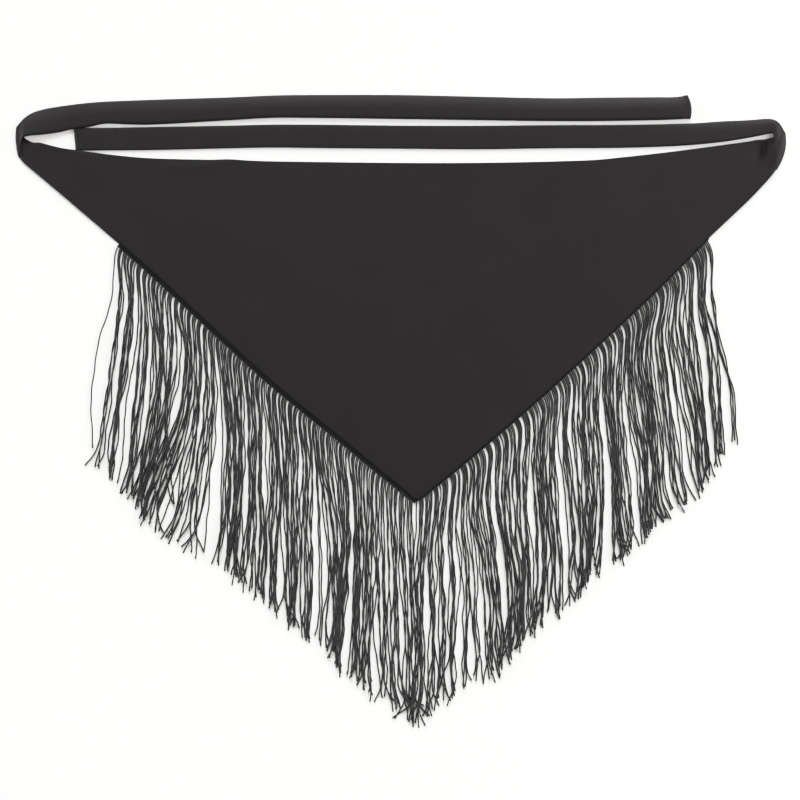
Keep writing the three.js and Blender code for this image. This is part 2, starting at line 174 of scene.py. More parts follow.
def ripple(depth: np.ndarray, lengths: tuple[float, float], random: np.random.Generator) -> np.ndarray:
    """Gives a wave from -1 to 1 along a cord, with a length drawn between two and a drawn start."""
    return np.sin(2 * math.pi * (depth / random.uniform(*lengths) + random.uniform()))


# Mesh making.


def shell(name: str, rings: np.ndarray, uv: np.ndarray, painted_shade: np.ndarray | float = 0.0) -> bpy.types.Object:
    """Makes a closed shell through rings of points, capped at both ends.

    Args:
        name: The piece's name.
        rings: Points in metres, as rings by points by three.
        uv: The cloth's own coordinates of each point, in metres, as rings by points by two.
        painted_shade: How deep in a crease, seam or fold's hollow each point lies, from 0 to 1, which the
            cloth's material paints as shade.

    Returns:
        The new object, smooth and facing outwards.
    """
    count, size = rings.shape[:2]
    row = np.arange(size)
    step = np.roll(row, -1)
    quads = []
    for ring in range(count - 1):
        a, b = ring * size, (ring + 1) * size
        quads.append(np.stack([a + row, a + step, b + step, b + row], axis=-1))
    faces = np.concatenate(quads)
    points = rings.reshape(-1, 3)
    corner = points[faces]
    volume = np.einsum("ij,ij->i", corner[:, 0], np.cross(corner[:, 1], corner[:, 2])).sum()
    volume += np.einsum("ij,ij->i", corner[:, 0], np.cross(corner[:, 2], corner[:, 3])).sum()
    start_cap, end_cap = row[::-1], (count - 1) * size + row
    if volume < 0:
        faces, start_cap, end_cap = faces[:, ::-1], start_cap[::-1], end_cap[::-1]
    mesh = bpy.data.meshes.new(name)
    polygons = faces.tolist() + [start_cap.tolist(), end_cap.tolist()]
    mesh.from_pydata(points.tolist(), [], polygons)
    flat_uv = uv.reshape(-1, 2)
    layer = mesh.uv_layers.new(name=UV_NAME)
    corners = np.empty(len(mesh.loops), dtype=np.int32)
    mesh.loops.foreach_get("vertex_index", corners)
    layer.data.foreach_set("uv", flat_uv[corners].ravel().astype(np.float32))
    # The painted shade is kept as a point attribute that the cloth's material reads.
    depth = mesh.attributes.new("painted_shade_depth", "FLOAT", "POINT")
    depths = np.broadcast_to(painted_shade, rings.shape[:2]).ravel()
    depth.data.foreach_set("value", depths.astype(np.float32))
    mesh.shade_smooth()
    for cap in (mesh.polygons[-1], mesh.polygons[-2]):
        cap.use_smooth = False
    mesh.validate()
    return link(bpy.data.objects.new(name, mesh))


def link(obj: bpy.types.Object) -> bpy.types.Object:
    """Puts an object in the scene and returns it."""
    bpy.context.scene.collection.objects.link(obj)
    return obj


def path_object(name: str, paths: list[np.ndarray], floats: dict[str, list[np.ndarray]]) -> bpy.types.Object:
    """Makes a mesh of open polylines that a node tree can follow.

    Args:
        name: The object's name.
        paths: The points of each polyline, in metres.
        floats: Named values at each point, with one array for each polyline.

    Returns:
        The new object.
    """
    edges = []
    start = 0
    for path in paths:
        edges += [(start + i, start + i + 1) for i in range(len(path) - 1)]
        start += len(path)
    mesh = bpy.data.meshes.new(name)
    mesh.from_pydata(np.concatenate(paths).tolist(), edges, [])
    for key, values in floats.items():
        attribute = mesh.attributes.new(key, "FLOAT", "POINT")
        attribute.data.foreach_set("value", np.concatenate(values).astype(np.float32))
    return link(bpy.data.objects.new(name, mesh))


def grow(obj: bpy.types.Object, tree: bpy.types.NodeTree, values: dict[str, object]) -> bpy.types.Object:
    """Runs a node tree on an object and keeps the result as a plain mesh.

    Args:
        obj: The object that holds the tree's input.
        tree: The geometry node tree.
        values: The tree's inputs, by name.

    Returns:
        The same object, with the made mesh and no modifier.
    """
    modifier = obj.modifiers.new(tree.name, "NODES")
    modifier.node_group = tree
    for item in tree.interface.items_tree:
        if item.in_out == "INPUT" and item.name in values:
            modifier[item.identifier] = values[item.name]
    graph = bpy.context.evaluated_depsgraph_get()
    graph.update()
    made = bpy.data.meshes.new_from_object(obj.evaluated_get(graph), depsgraph=graph)
    obj.modifiers.clear()
    path_mesh = obj.data
    obj.data = made
    made.name = obj.name
    bpy.data.meshes.remove(path_mesh)
    return obj


# Node trees.


@dataclass
class TreeBuilder:
    """Adds and joins the nodes of one node tree."""

    tree: bpy.types.NodeTree

    @classmethod
    def group(
        cls, name: str, kind: str, inputs: dict[str, tuple[str, object]], outputs: dict[str, str]
    ) -> TreeBuilder:
        """Starts a node group.

        Args:
            name: The group's name.
            kind: Its type, Geometry or Shader.
            inputs: The socket type and default of each named input.
            outputs: The socket type of each named output.

        Returns:
            The builder of the new group.
        """
        tree = bpy.data.node_groups.new(name, f"{kind}NodeTree")
        for key, (sort, default) in inputs.items():
            socket = tree.interface.new_socket(key, in_out="INPUT", socket_type=f"NodeSocket{sort}")
            if default is not None:
                socket.default_value = default
        for key, sort in outputs.items():
            tree.interface.new_socket(key, in_out="OUTPUT", socket_type=f"NodeSocket{sort}")
        return cls(tree)

    def give(self, socket: bpy.types.NodeSocket, value: object) -> None:
        """Links a socket to the one that gives its value, or sets a plain value."""
        if isinstance(value, bpy.types.NodeSocket):
            self.tree.links.new(value, socket)
        else:
            socket.default_value = value

    def add(
        self, kind: str, inputs: dict[str | int, object] | None = None, **settings: object
    ) -> bpy.types.Node:
        """Adds a node.

        Args:
            kind: The node's type.
            inputs: What each input is given, by its name or number: a value, or a socket to link.
            **settings: The node's properties.

        Returns:
            The new node.
        """
        node = self.tree.nodes.new(kind)
        for key, value in settings.items():
            setattr(node, key, value)
        for key, value in (inputs or {}).items():
            self.give(node.inputs[key], value)
        return node

    def chain(self, *nodes: bpy.types.Node) -> None:
        """Links the first output of each node to the first input of the next."""
        for before, after in zip(nodes, nodes[1:]):
            self.give(after.inputs[0], before.outputs[0])

    def math(self, operation: str, first: object, second: object = 0.0) -> bpy.types.NodeSocket:
        """Adds a math node on one or two values or sockets, and gives its output."""
        return self.add("ShaderNodeMath", {0: first, 1: second}, operation=operation).outputs[0]

    def mix(self, factor: bpy.types.NodeSocket, dark: Colour | bpy.types.NodeSocket, light: Colour) -> object:
        """Adds a colour mix.

        Args:
            factor: The socket that drives it.
            dark: The colour at 0, or the socket that gives it.
            light: The colour at 1.

        Returns:
            The mixed colour's socket.
        """
        node = self.add("ShaderNodeMix", {0: factor}, data_type="RGBA")
        first, second = (socket for socket in node.inputs if socket.type == "RGBA")
        self.give(first, dark if isinstance(dark, bpy.types.NodeSocket) else (*dark, 1))
        self.give(second, (*light, 1))
        return node.outputs[2]

    def emboss(
        self, shader: bpy.types.Node, height: bpy.types.NodeSocket, strength: float, depth: float
    ) -> None:
        """Feeds a shader's normal from a height, with the bump's strength and depth."""
        bump = self.add("ShaderNodeBump", {"Strength": strength, "Distance": depth, "Height": height})
        self.give(shader.inputs["Normal"], bump.outputs["Normal"])


def cord_tree() -> bpy.types.NodeTree:
    """Builds the tree that makes a round cord along each polyline.

    Returns:
        The tree. It reads the points' flare, and writes how far round the cord each point lies.
    """
    inputs = {"Geometry": ("Geometry", None), "Radius": ("Float", 0.0007), "Sides": ("Int", 6)}
    inputs |= {"Material": ("Material", None)}
    build = TreeBuilder.group("Cord along a path", "Geometry", inputs, {"Geometry": "Geometry"})
    source = build.add("NodeGroupInput")
    sizes = {"Radius": source.outputs["Radius"], "Resolution": source.outputs["Sides"]}
    circle = build.add("GeometryNodeCurvePrimitiveCircle", sizes, mode="RADIUS")
    factor = build.add("GeometryNodeSplineParameter")
    mark = {"Geometry": circle.outputs["Curve"], "Name": "around", "Value": factor.outputs["Factor"]}
    around = build.add("GeometryNodeStoreNamedAttribute", mark, data_type="FLOAT", domain="POINT")
    flare = build.add("GeometryNodeInputNamedAttribute", {"Name": "flare"}, data_type="FLOAT")
    tube = {"Profile Curve": around.outputs["Geometry"], "Scale": flare.outputs["Attribute"]}
    tube["Fill Caps"] = True
    build.chain(
        source,
        build.add("GeometryNodeMeshToCurve"),
        build.add("GeometryNodeSetCurveNormal", mode="Z_UP"),
        build.add("GeometryNodeCurveToMesh", tube),
        build.add("GeometryNodeSetShadeSmooth"),
        build.add("GeometryNodeRealizeInstances"),
        build.add("GeometryNodeSetMaterial", {"Material": source.outputs["Material"]}),
        build.add("NodeGroupOutput"),
    )
    return build.tree


def stitch_tree() -> bpy.types.NodeTree:
    """Builds the tree that sews small arched stitches along each polyline.

    Returns:
        The tree. Its inputs are the stitches' pitch, length, lift, thread radius, spread and material.
    """
    sizes = {"Pitch": 0.0026, "Length": 0.002, "Lift": 0.0006, "Thread Radius": 0.0003, "Spread": 0.0}
    inputs = {"Geometry": ("Geometry", None)} | {key: ("Float", value) for key, value in sizes.items()}
    inputs |= {"Material": ("Material", None)}
    build = TreeBuilder.group("Stitches along a path", "Geometry", inputs, {"Geometry": "Geometry"})
    source = build.add("NodeGroupInput")
    given = source.outputs
    half_back = build.math("MULTIPLY", given["Length"], -0.5)
    start = {"X": half_back, "Y": build.math("MULTIPLY", given["Spread"], -1.0)}
    end = {"X": build.math("MULTIPLY", given["Length"], 0.5), "Y": given["Spread"]}
    knots = {"Start": start, "Middle": {"Z": given["Lift"]}, "End": end}
    arch = {key: build.add("ShaderNodeCombineXYZ", place).outputs["Vector"] for key, place in knots.items()}
    round_thread = {"Resolution": 5, "Radius": given["Thread Radius"]}
    ring = build.add("GeometryNodeCurvePrimitiveCircle", round_thread, mode="RADIUS")
    stitch = build.add("GeometryNodeSetShadeSmooth")
    build.chain(
        build.add("GeometryNodeCurveQuadraticBezier", {"Resolution": 6} | arch),
        build.add("GeometryNodeCurveToMesh", {"Profile Curve": ring.outputs["Curve"], "Fill Caps": True}),
        stitch,
    )
    tangent = build.add("GeometryNodeInputTangent")
    heading = {"Vector": tangent.outputs[0]}
    turn = build.add("FunctionNodeAlignRotationToVector", heading, axis="X", pivot_axis="Z")
    placed = {"Instance": stitch.outputs[0], "Rotation": turn.outputs["Rotation"]}
    build.chain(
        source,
        build.add("GeometryNodeMeshToCurve"),
        build.add("GeometryNodeResampleCurve", {"Length": given["Pitch"]}, mode="LENGTH"),
        build.add("GeometryNodeInstanceOnPoints", placed),
        build.add("GeometryNodeRealizeInstances"),
        build.add("GeometryNodeSetMaterial", {"Material": given["Material"]}),
        build.add("NodeGroupOutput"),
    )
    return build.tree


# Finishes.

YARN_SCALE = 900.0
YARN_TONE = 0.35
TONE_SHIFT = 0.17


def weave_group() -> bpy.types.NodeTree:
    """Builds the shared weave: crossing threads, uneven yarn and a soft drift of tone.

    Returns:
        The group. Height is for a Bump node, and Tone goes from 0 to 1 around 0.5.
    """
    inputs = {"Vector": ("Vector", None), "Thread": ("Float", 0.00042), "Drift": ("Float", 0.05)}
    build = TreeBuilder.group("Crepe weave", "Shader", inputs, {"Height": "Float", "Tone": "Float"})
    given = build.add("NodeGroupInput").outputs
    split = build.add("ShaderNodeSeparateXYZ", {0: given["Vector"]}).outputs
    turn = build.math("DIVIDE", 2 * math.pi, given["Thread"])
    warp, weft = (build.math("SINE", build.math("MULTIPLY", split[axis], turn)) for axis in ("X", "Y"))
    fine = {"Vector": given["Vector"], "Scale": YARN_SCALE, "Detail": 2.0}
    yarn = build.add("ShaderNodeTexNoise", fine, noise_dimensions="3D").outputs["Fac"]
    broad = fine | {"Scale": build.math("DIVIDE", 1.0, given["Drift"])}
    cloud = build.add("ShaderNodeTexNoise", broad, noise_dimensions="3D").outputs["Fac"]
    height = build.math("ADD", build.math("MULTIPLY", warp, weft), yarn)
    tone = build.math("ADD", build.math("MULTIPLY", yarn, YARN_TONE), cloud)
    build.add("NodeGroupOutput", {"Height": height, "Tone": build.math("SUBTRACT", tone, TONE_SHIFT)})
    return build.tree


def principled(name: str, plain: dict[str, object]) -> tuple[bpy.types.Material, TreeBuilder, bpy.types.Node]:
    """Makes a material with a Principled shader.

    Args:
        name: The material's name.
        plain: What the shader's own sockets are set to, by name.

    Returns:
        The material, the builder of its tree, and its shader.
    """
    material = bpy.data.materials.new(name)
    material.use_nodes = True
    shader = material.node_tree.nodes["Principled BSDF"]
    for key, value in plain.items():
        shader.inputs[key].default_value = value
    return material, TreeBuilder(material.node_tree), shader


@dataclass(frozen=True)
class ClothFinish:
    """Soft black satin-backed crepe, with painted shade in its creases, seams and hollows."""

    name: str
    dark: Colour
    light: Colour
    roughness: float = 0.6
    specular: float = 0.27
    sheen: float = 0.02
    sheen_roughness: float = 0.45
    lustre: Colour = (1.0, 0.93, 0.965)
    # The painted shade's colour and roughness in creases, seams and hollows.
    painted_shade_colour: Colour = (0.0005, 0.0005, 0.0005)
    painted_shade_roughness: float = 0.32
    thread: float = 0.00045
    drift: float = 0.07
    bump: float = 0.25
    bump_depth: float = 0.00006

    def build(self, weave: bpy.types.NodeTree) -> bpy.types.Material:
        """Makes the material.

        Args:
            weave: The shared weave group.

        Returns:
            The new material.
        """
        plain = {"Roughness": self.roughness, "Specular IOR Level": self.specular}
        plain |= {"Specular Tint": (*self.lustre, 1)}
        plain |= {"Sheen Weight": self.sheen, "Sheen Roughness": self.sheen_roughness}
        material, build, shader = principled(self.name, plain)
        place = build.add("ShaderNodeUVMap", uv_map=UV_NAME)
        pattern = {"Vector": place.outputs["UV"], "Thread": self.thread, "Drift": self.drift}
        threads = build.add("ShaderNodeGroup", pattern, node_tree=weave).outputs
        # Painted shade: where the marked shade is high, the base colour goes to near black and the roughness
        # drops, so creases, seams and hollows read darker.
        painted_shade = build.add("ShaderNodeAttribute", attribute_name="painted_shade_depth").outputs["Fac"]
        tone = build.mix(threads["Tone"], self.dark, self.light)
        build.give(shader.inputs["Base Color"], build.mix(painted_shade, tone, self.painted_shade_colour))
        smoother = build.math("MULTIPLY", painted_shade, self.painted_shade_roughness - self.roughness)
        build.give(shader.inputs["Roughness"], build.math("ADD", smoother, self.roughness))
        build.emboss(shader, threads["Height"], self.bump, self.bump_depth)
        return material


@dataclass(frozen=True)
class CordFinish:
    """Black twisted cord, with painted shade darker between its strands of yarn."""

    name: str
    dark: Colour
    light: Colour
    roughness: float = 0.5
    specular: float = 0.25
    sheen: float = 0.1
    twist: float = 0.0024
    plies: int = 2
    bump: float = 0.5
    bump_depth: float = 0.00015

    def build(self) -> bpy.types.Material:
        """Makes the material. It reads how far along and round the cord each point lies.

        Returns:
            The new material.
        """
        plain = {"Roughness": self.roughness, "Specular IOR Level": self.specular, "Sheen Weight": self.sheen}
        material, build, shader = principled(self.name, plain)
        along, around = (
            build.add("ShaderNodeAttribute", attribute_name=key).outputs["Fac"] for key in ("along", "around")
        )
        turns = build.math("MULTIPLY", along, 2 * math.pi / self.twist)
        round_turns = build.math("MULTIPLY", around, 2 * math.pi * self.plies)
        ply = build.math("SINE", build.math("ADD", turns, round_turns))
        height = build.math("MULTIPLY", build.math("ADD", ply, 1.0), 0.5)
        # Painted shade: the base colour darkens in the grooves between the plies and lightens on their
        # crowns.
        build.give(shader.inputs["Base Color"], build.mix(height, self.dark, self.light))
        build.emboss(shader, height, self.bump, self.bump_depth)
        return material


@dataclass(frozen=True)
class TableFinish:
    """The plain white table."""

    name: str = "table_white"
    colour: Colour = (0.9, 0.9, 0.885)
    roughness: float = 0.9
    specular: float = 0.1

    def build(self) -> bpy.types.Material:
        """Makes the material and returns it."""
        plain = {"Base Color": (*self.colour, 1), "Roughness": self.roughness}
        plain["Specular IOR Level"] = self.specular
        return principled(self.name, plain)[0]


# The doubled triangle.


@dataclass
class Fold:
    """A soft trough or ridge in the laid cloth."""

    x: float
    y: float
    turn: float
    along: float
    across: float
    height: float

    def rise(self, x: np.ndarray, y: np.ndarray) -> np.ndarray:
        """Gives how far the cloth rises or dips.

        Args:
            x: Where to read it.
            y: Where to read it.

        Returns:
            The rise at each point.
        """
        turn = math.radians(self.turn)
        u = (x - self.x) * math.cos(turn) + (y - self.y) * math.sin(turn)
        v = (y - self.y) * math.cos(turn) - (x - self.x) * math.sin(turn)
        return self.height * np.exp(-((u / self.along) ** 2) - (v / self.across) ** 2)


def hollow_shade(folds: tuple[Fold, ...], x: np.ndarray, y: np.ndarray, depth: float) -> np.ndarray:
    """Gives how deep in a fold's hollow each point lies, which marks where shade is painted.

    Args:
        folds: The folds.
        x: Where to read it.
        y: Where to read it.
        depth: The depth that counts as 1.

    Returns:
        The depth at each point, from 0 to 1.
    """
    sunk = sum(-fold.rise(x, y) for fold in folds if fold.height < 0)
    return np.clip(sunk / depth, 0, 1)


LEFT_CORNER_FOLDS = (
    Fold(-413.2, 298.6, 72, 6, 4.5, -1.4),
    Fold(-401, 291, 70, 9, 6, 0.6),
    Fold(-330, 262, -40, 60, 12, 0.3),
)
RIGHT_CORNER_FOLDS = (
    Fold(397.2, 287, 76, 15, 7.0, -1.45),
    Fold(398.5, 299.5, 10, 9, 3.5, 1.2),
    Fold(410.5, 296, 84, 6, 3, -1.0),
    Fold(380, 258, 62, 24, 9, 0.4),
    Fold(330, 250, 38, 70, 14, 0.3),
)


@dataclass
class PanelCloth:
    """The triangle of two layers, with rounded, turned edges and a few soft folds."""

    thickness: float = 1.8
    edge_height: float = 0.35
    hem_bead: float = 0.45
    waist_bead_places: tuple[float, ...] = (-411, 230, 330, 400)
    waist_beads: tuple[float, ...] = (0.3, 0.3, 1.1, 1.1)
    waist_roll: float = 1.6
    bead_width: float = 2.2
    roll_places: tuple[float, ...] = (-411, -325, -305, 6, 26, 338, 355, 400)
    roll_sizes: tuple[float, ...] = (1.4, 1.8, 4.6, 4.6, 2.4, 2.4, 1.6, 1.4)
    roll_softness: tuple[float, ...] = (0.5, 0.6, 0.9, 0.9, 0.5, 0.5, 0.5, 0.5)
    # Painted shade along the hem seam: how deep it is marked at each roll place, and its width.
    seam_shade_depths: tuple[float, ...] = (0, 0, 0.9, 0.9, 0.5, 0.5, 0, 0)
    seam_shade_width: float = 2.2
    # The hollow depth that gets the full painted shade.
    hollow_shade_depth: float = 1.5
    thinnest: float = 0.3
    column_step: float = 2.6
    tip_step: float = 0.8
    tip_reach: float = 14.0
    field_rows: int = 42
    under_rows: int = 14
    under_inset: float = 0.4
    inset_room: float = 3.0
    rim: float = 0.1
    waist_softness: float = 0.5
    end_calm: float = 9.0
    drift: float = 0.12
    drift_ease: float = 3.0
    drift_cross: tuple[tuple[float, float], ...] = ((61.0, 0.7), (47.0, -0.4))
    drift_waves: tuple[tuple[float, ...], ...] = (
        (0.6, 1.0, 33.0, 1.9),
        (0.35, -1.4, 17.0, 0.3),
        (0.25, 0.6, 11.0, 0.0),
    )
    area_steps: int = 800
    folds: tuple[Fold, ...] = (
        *LEFT_CORNER_FOLDS,
        *RIGHT_CORNER_FOLDS,
        Fold(-212, 271, 8, 26, 5, 0.4),
        Fold(-250, 269, -6, 14, 4, 0.3),
        Fold(-120, 150, -35, 130, 26, 0.3),
        Fold(150, 160, 40, 150, 30, 0.35),
    )
    insets: tuple[float, ...] = (0.0, 0.12, 0.35, 0.7, 1.15, 1.7, 2.3, 3.0, 3.8, 5.0, 7.0, 10.0, 14.0)

    def edge_rise(
        self, inset: np.ndarray, roll: np.ndarray | float, softness: np.ndarray | float, bead: np.ndarray
    ) -> np.ndarray:
        """Gives the upper surface's height near a turned edge.

        Args:
            inset: How far inside the edge each point lies.
            roll: How wide the rounding of the edge is.
            softness: How the edge is rounded, from 0.5 for a full round to 1 for a gentle slope.
            bead: How much thicker the turned edge is.

        Returns:
            The height at each point.
        """
        round_share = rounding(inset, roll) ** softness
        height = self.edge_height + (self.thickness - self.edge_height) * round_share
        return height + bead * round_share * bell(inset - roll, self.bead_width)

    def drift_height(self, x: np.ndarray, y: np.ndarray) -> np.ndarray:
        """Gives the broad, barely visible unevenness of cloth that was laid by hand.

        Args:
            x: Where to read it.
            y: Where to read it.

        Returns:
            The rise, from a crossed pair of waves and the rows of size, slant, length and start.
        """
        (x_length, x_start), (y_length, y_start) = self.drift_cross
        height = np.sin(x / x_length + x_start) * np.sin(y / y_length + y_start)
        for size, slant, length, start in self.drift_waves:
            height = height + size * np.sin((x + slant * y) / length + start)
        return self.drift * height

    def columns(self) -> np.ndarray:
        """Gives the places across the panel at which its sections are taken."""
        first, last = HEM_EDGE[0][0], HEM_EDGE[-1][0]
        wide = np.linspace(first, last, int((last - first) / self.column_step))
        tip = np.arange(TIP_X - self.tip_reach, TIP_X + self.tip_reach, self.tip_step)
        wide = wide[np.abs(wide - TIP_X) > self.tip_reach]
        return np.sort(np.concatenate([wide, tip]))

    def plan_area(self) -> float:
        """Gives the area of one layer in square metres."""
        x = np.linspace(HEM_EDGE[0][0], HEM_EDGE[-1][0], self.area_steps)
        drop = WAIST.y(x) - HEM.y(x)
        return float(np.sum((drop[1:] + drop[:-1]) * np.diff(x)) / 2) * MM * MM

    def build(self) -> bpy.types.Object:
        """Builds the shell.

        Returns:
            The panel's object.
        """
        x = self.columns()[:, None]
        low, high = HEM.y(x), WAIST.y(x)
        stretch = np.hypot(1, HEM.slope(x))
        inset = np.array(self.insets)[None, :]
        reach = self.insets[-1]
        room_low = np.minimum(1, (high - low) / (self.inset_room * stretch * reach))
        room_high = np.minimum(1, (high - low) / (self.inset_room * reach))
        hem_y = low + inset * stretch * room_low
        waist_y = (high - inset * room_high)[:, ::-1]
        share = np.linspace(0, 1, self.field_rows + 2)[1:-1]
        field_y = hem_y[:, -1:] + (waist_y[:, :1] - hem_y[:, -1:]) * share
        top_y = np.concatenate([hem_y, field_y, waist_y], axis=1)
        from_hem = (top_y - low) / stretch
        from_waist = high - top_y
        from_edge = np.minimum(from_hem, from_waist)
        inner = 1 - bell(np.minimum(x - x[0], x[-1] - x), self.end_calm)
        roll = np.interp(x, self.roll_places, self.roll_sizes)
        softness = np.interp(x, self.roll_places, self.roll_softness)
        waist_bead = np.interp(x, self.waist_bead_places, self.waist_beads)
        top_z = np.minimum(
            self.edge_rise(from_hem, roll, softness, self.hem_bead * inner),
            self.edge_rise(from_waist, self.waist_roll, self.waist_softness, waist_bead * inner),
        )
        wide_x = np.broadcast_to(x, top_y.shape)
        top_z = top_z + ease_in(from_edge, self.drift_ease) * inner * self.drift_height(wide_x, top_y)
        for fold in self.folds:
            top_z = top_z + ease_in(from_edge, TURNED_EDGE) * fold.rise(wide_x, top_y)
        top_z = np.maximum(top_z, np.minimum(self.thinnest, self.rim + from_hem))
        under_high, under_low = high - self.under_inset, low + self.under_inset * stretch
        under_y = under_high + (under_low - under_high) * np.linspace(0, 1, self.under_rows)
        ys = np.concatenate([top_y, under_y], axis=1)
        zs = np.concatenate([top_z, np.zeros_like(under_y)], axis=1)
        rings = np.stack([np.broadcast_to(x, ys.shape), ys, zs], axis=-1) * MM
        # Painted shade: the hem seam and the hollows of the folds are marked for the material to darken.
        painted_shade = np.zeros(ys.shape)
        seam_shade = np.interp(x, self.roll_places, self.seam_shade_depths)
        sunk = hollow_shade(self.folds, wide_x, top_y, self.hollow_shade_depth)
        painted_shade[:, : top_y.shape[1]] = np.maximum(seam_shade * bell(from_hem, self.seam_shade_width), sunk)
        return shell("panel_cloth", rings, rings[..., :2], painted_shade)


# The ties.


@dataclass
class TieSection:
    """A section across a tie: its fringe-side and far ends in plan, its height, bow, puff and tilt."""

    low_x: float
    low_y: float
    high_x: float
    high_y: float
    middle: float
    bow: float = 0.0
    puff: float = 0.0
    tilt: float = 0.0


def sections(*rows: tuple[float, ...]) -> tuple[TieSection, ...]:
    """Makes the sections of a table from its rows."""
    return tuple(TieSection(*row) for row in rows)


UNDER = 0.9
LEFT_ROOT = sections(
    (-400.6, 264.0, -400.6, 293.6, UNDER - 0.1),
    (-406.4, 267.2, -406.4, 296.2, UNDER + 0.02),
    (-411.4, 270.3, -411.4, 298.8, UNDER + 0.07),
    (-416.4, 275.0, -417.4, 304.4, UNDER, 0.8),
    (-419.2, 278.7, -421.4, 312.4, UNDER, 1.8),
)
LEFT_RUN = sections(
    (-419.2, 281.5, -421.9, 313.6, 2.4, 1.8, 0.8, 0.2),
    (-418.0, 290.0, -418.9, 317.5, 2.5, 1.5, 1.0, 0.7),
    (-416.8, 297.5, -414.8, 321.9, 2.9, 1.0, 1.2, 1.5),
    (-414.4, 301.2, -410.0, 325.6, 3.4, 0.5, 1.3, 2.2),
    (-406.7, 302.9, -403.5, 329.1, 3.7, 0.1, 1.3, 2.5),
    (-395.5, 303.8, -391.6, 332.6, 3.1, 0.0, 1.3, 2.0),
    (-377.3, 306.3, -372.9, 335.8, 1.8, 0.0, 1.3, 0.9),
    (-360.8, 310.2, -356.4, 338.0, UNDER, 0.0, 1.2),
    (-343.2, 312.6, -339.9, 339.7, UNDER, 0.0, 1.3),
    (-325.6, 316.2, -323.4, 340.9, UNDER, 0.0, 1.5),
    (-298.0, 315.4, -297.0, 341.9, UNDER, 0.0, 1.6),
    (-276.1, 315.2, -276.1, 342.7, UNDER, 0.0, 1.6),
    (-188.1, 320.1, -188.1, 345.5, UNDER, 0.0, 1.6),
    (-141.9, 322.7, -134.0, 347.7, UNDER, 0.0, 1.8),
    (-90.2, 322.6, -86.9, 348.1, UNDER, 0.0, 1.7),
    (-1.1, 321.4, -1.1, 348.0, UNDER, 0.0, 1.6),
    (83.6, 320.2, 83.6, 346.2, UNDER, 0.0, 1.7),
    (167.2, 319.1, 167.2, 344.5, UNDER, 0.0, 2.0),
    (223.0, 319.2, 223.0, 345.2, UNDER, 0.0, 2.2),
    (279.4, 320.1, 279.4, 345.6, UNDER, 0.0, 2.4),
    (303.0, 320.9, 302.0, 345.8, UNDER, 0.0, 2.2),
    (312.4, 321.5, 309.6, 346.8, UNDER, -1.4, 1.8),
    (315.0, 321.5, 312.2, 347.6, UNDER, -1.6, 1.4),
    (318.6, 321.2, 315.6, 348.0, UNDER, -2.2, 0.9),
)
RIGHT_ROOT = sections(
    (389.6, 243.4, 389.6, 296.2, UNDER - 0.1),
    (396.4, 247.8, 396.4, 298.6, UNDER + 0.02),
    (400.4, 250.9, 400.4, 299.3, UNDER + 0.07),
    (403.2, 254.1, 403.4, 300.2, 1.0, 0.4, 0.3, -0.1),
    (406.1, 257.5, 406.8, 301.2, 1.4, 1.2, 1.1, -0.7),
    (409.3, 261.3, 413.4, 303.0, 1.9, 2.8, 2.2, -1.2),
    (411.9, 264.9, 421.8, 305.0, 1.9, 4.3, 1.7, -1.3),
)
RIGHT_RUN = sections(
    (411.8, 267.0, 421.2, 309.0, UNDER, 4.2, 1.0),
    (409.2, 278.0, 418.4, 314.0, UNDER, 2.6, 2.4),
    (409.6, 290.0, 414.6, 318.4, UNDER, 1.0, 3.0),
    (409.8, 301.0, 411.6, 320.3, UNDER, 0.6, 2.7),
    (409.2, 305.9, 407.0, 321.6, UNDER, 0.4, 2.3),
    (405.4, 305.3, 403.4, 321.8, UNDER + 0.1, 0.2, 2.0, 0.1),
    (400.4, 304.3, 398.6, 321.7, 1.2, 0.0, 1.8, 0.3),
    (387.4, 301.6, 384.6, 320.5, 1.5, 0.0, 1.8, 0.6),
    (356.4, 296.6, 356.4, 319.2, 1.6, 0.0, 1.6, 0.7),
    (317.9, 292.7, 317.9, 316.8, 1.4, 0.0, 1.2, 0.5),
    (251.9, 290.0, 251.9, 315.2, UNDER, 0.0, 0.6),
    (167.2, 289.3, 167.2, 314.8, UNDER, 0.0, 0.4),
    (83.6, 288.2, 83.6, 314.2, UNDER, 0.0, 0.4),
    (-1.1, 288.8, -1.1, 314.4, UNDER, 0.0, 0.4),
    (-94.6, 289.6, -94.6, 315.4, UNDER, 0.0, 0.5),
    (-144.0, 290.1, -144.0, 315.4, UNDER, 0.0, 0.5),
    (-188.1, 289.3, -188.1, 314.4, UNDER, 0.0, 0.4),
    (-276.1, 287.3, -276.1, 312.7, UNDER, 0.0, 0.4),
    (-331.1, 286.9, -331.1, 311.9, UNDER, 0.0, 0.4),
    (-350.6, 286.8, -351.6, 311.9, UNDER, 0.2, 0.4),
    (-354.0, 286.7, -355.0, 312.1, UNDER, 0.3, 0.3),
    (-357.9, 286.9, -360.0, 312.0, UNDER, 0.5, 0.3),
)


def spline(points: np.ndarray, places: np.ndarray) -> np.ndarray:
    """Reads a centripetal Catmull-Rom curve.

    Args:
        points: The curve's points, one in each row.
        places: Where to read it, counted in points from the first.

    Returns:
        The curve's points at those places.
    """
    gaps = np.maximum(np.linalg.norm(np.diff(points, axis=0), axis=1) ** 0.5, TINY)
    padded = np.vstack([2 * points[0] - points[1], points, 2 * points[-1] - points[-2]])
    gaps = np.concatenate([gaps[:1], gaps, gaps[-1:]])
    last = len(points) - 2
    i = np.clip(np.floor(places).astype(int), 0, last)
    t = (places - i)[:, None]
    p0, p1, p2, p3 = (padded[i + k] for k in range(4))
    g0, g1, g2 = (gaps[i + k][:, None] for k in range(3))
    leave = ((p1 - p0) / g0 - (p2 - p0) / (g0 + g1) + (p2 - p1) / g1) * g1
    arrive = ((p2 - p1) / g1 - (p3 - p1) / (g1 + g2) + (p3 - p2) / g2) * g1
    cubic = 2 * p1 - 2 * p2 + leave + arrive
    square = -3 * p1 + 3 * p2 - 2 * leave - arrive
    return ((cubic * t + square) * t + leave) * t + p1


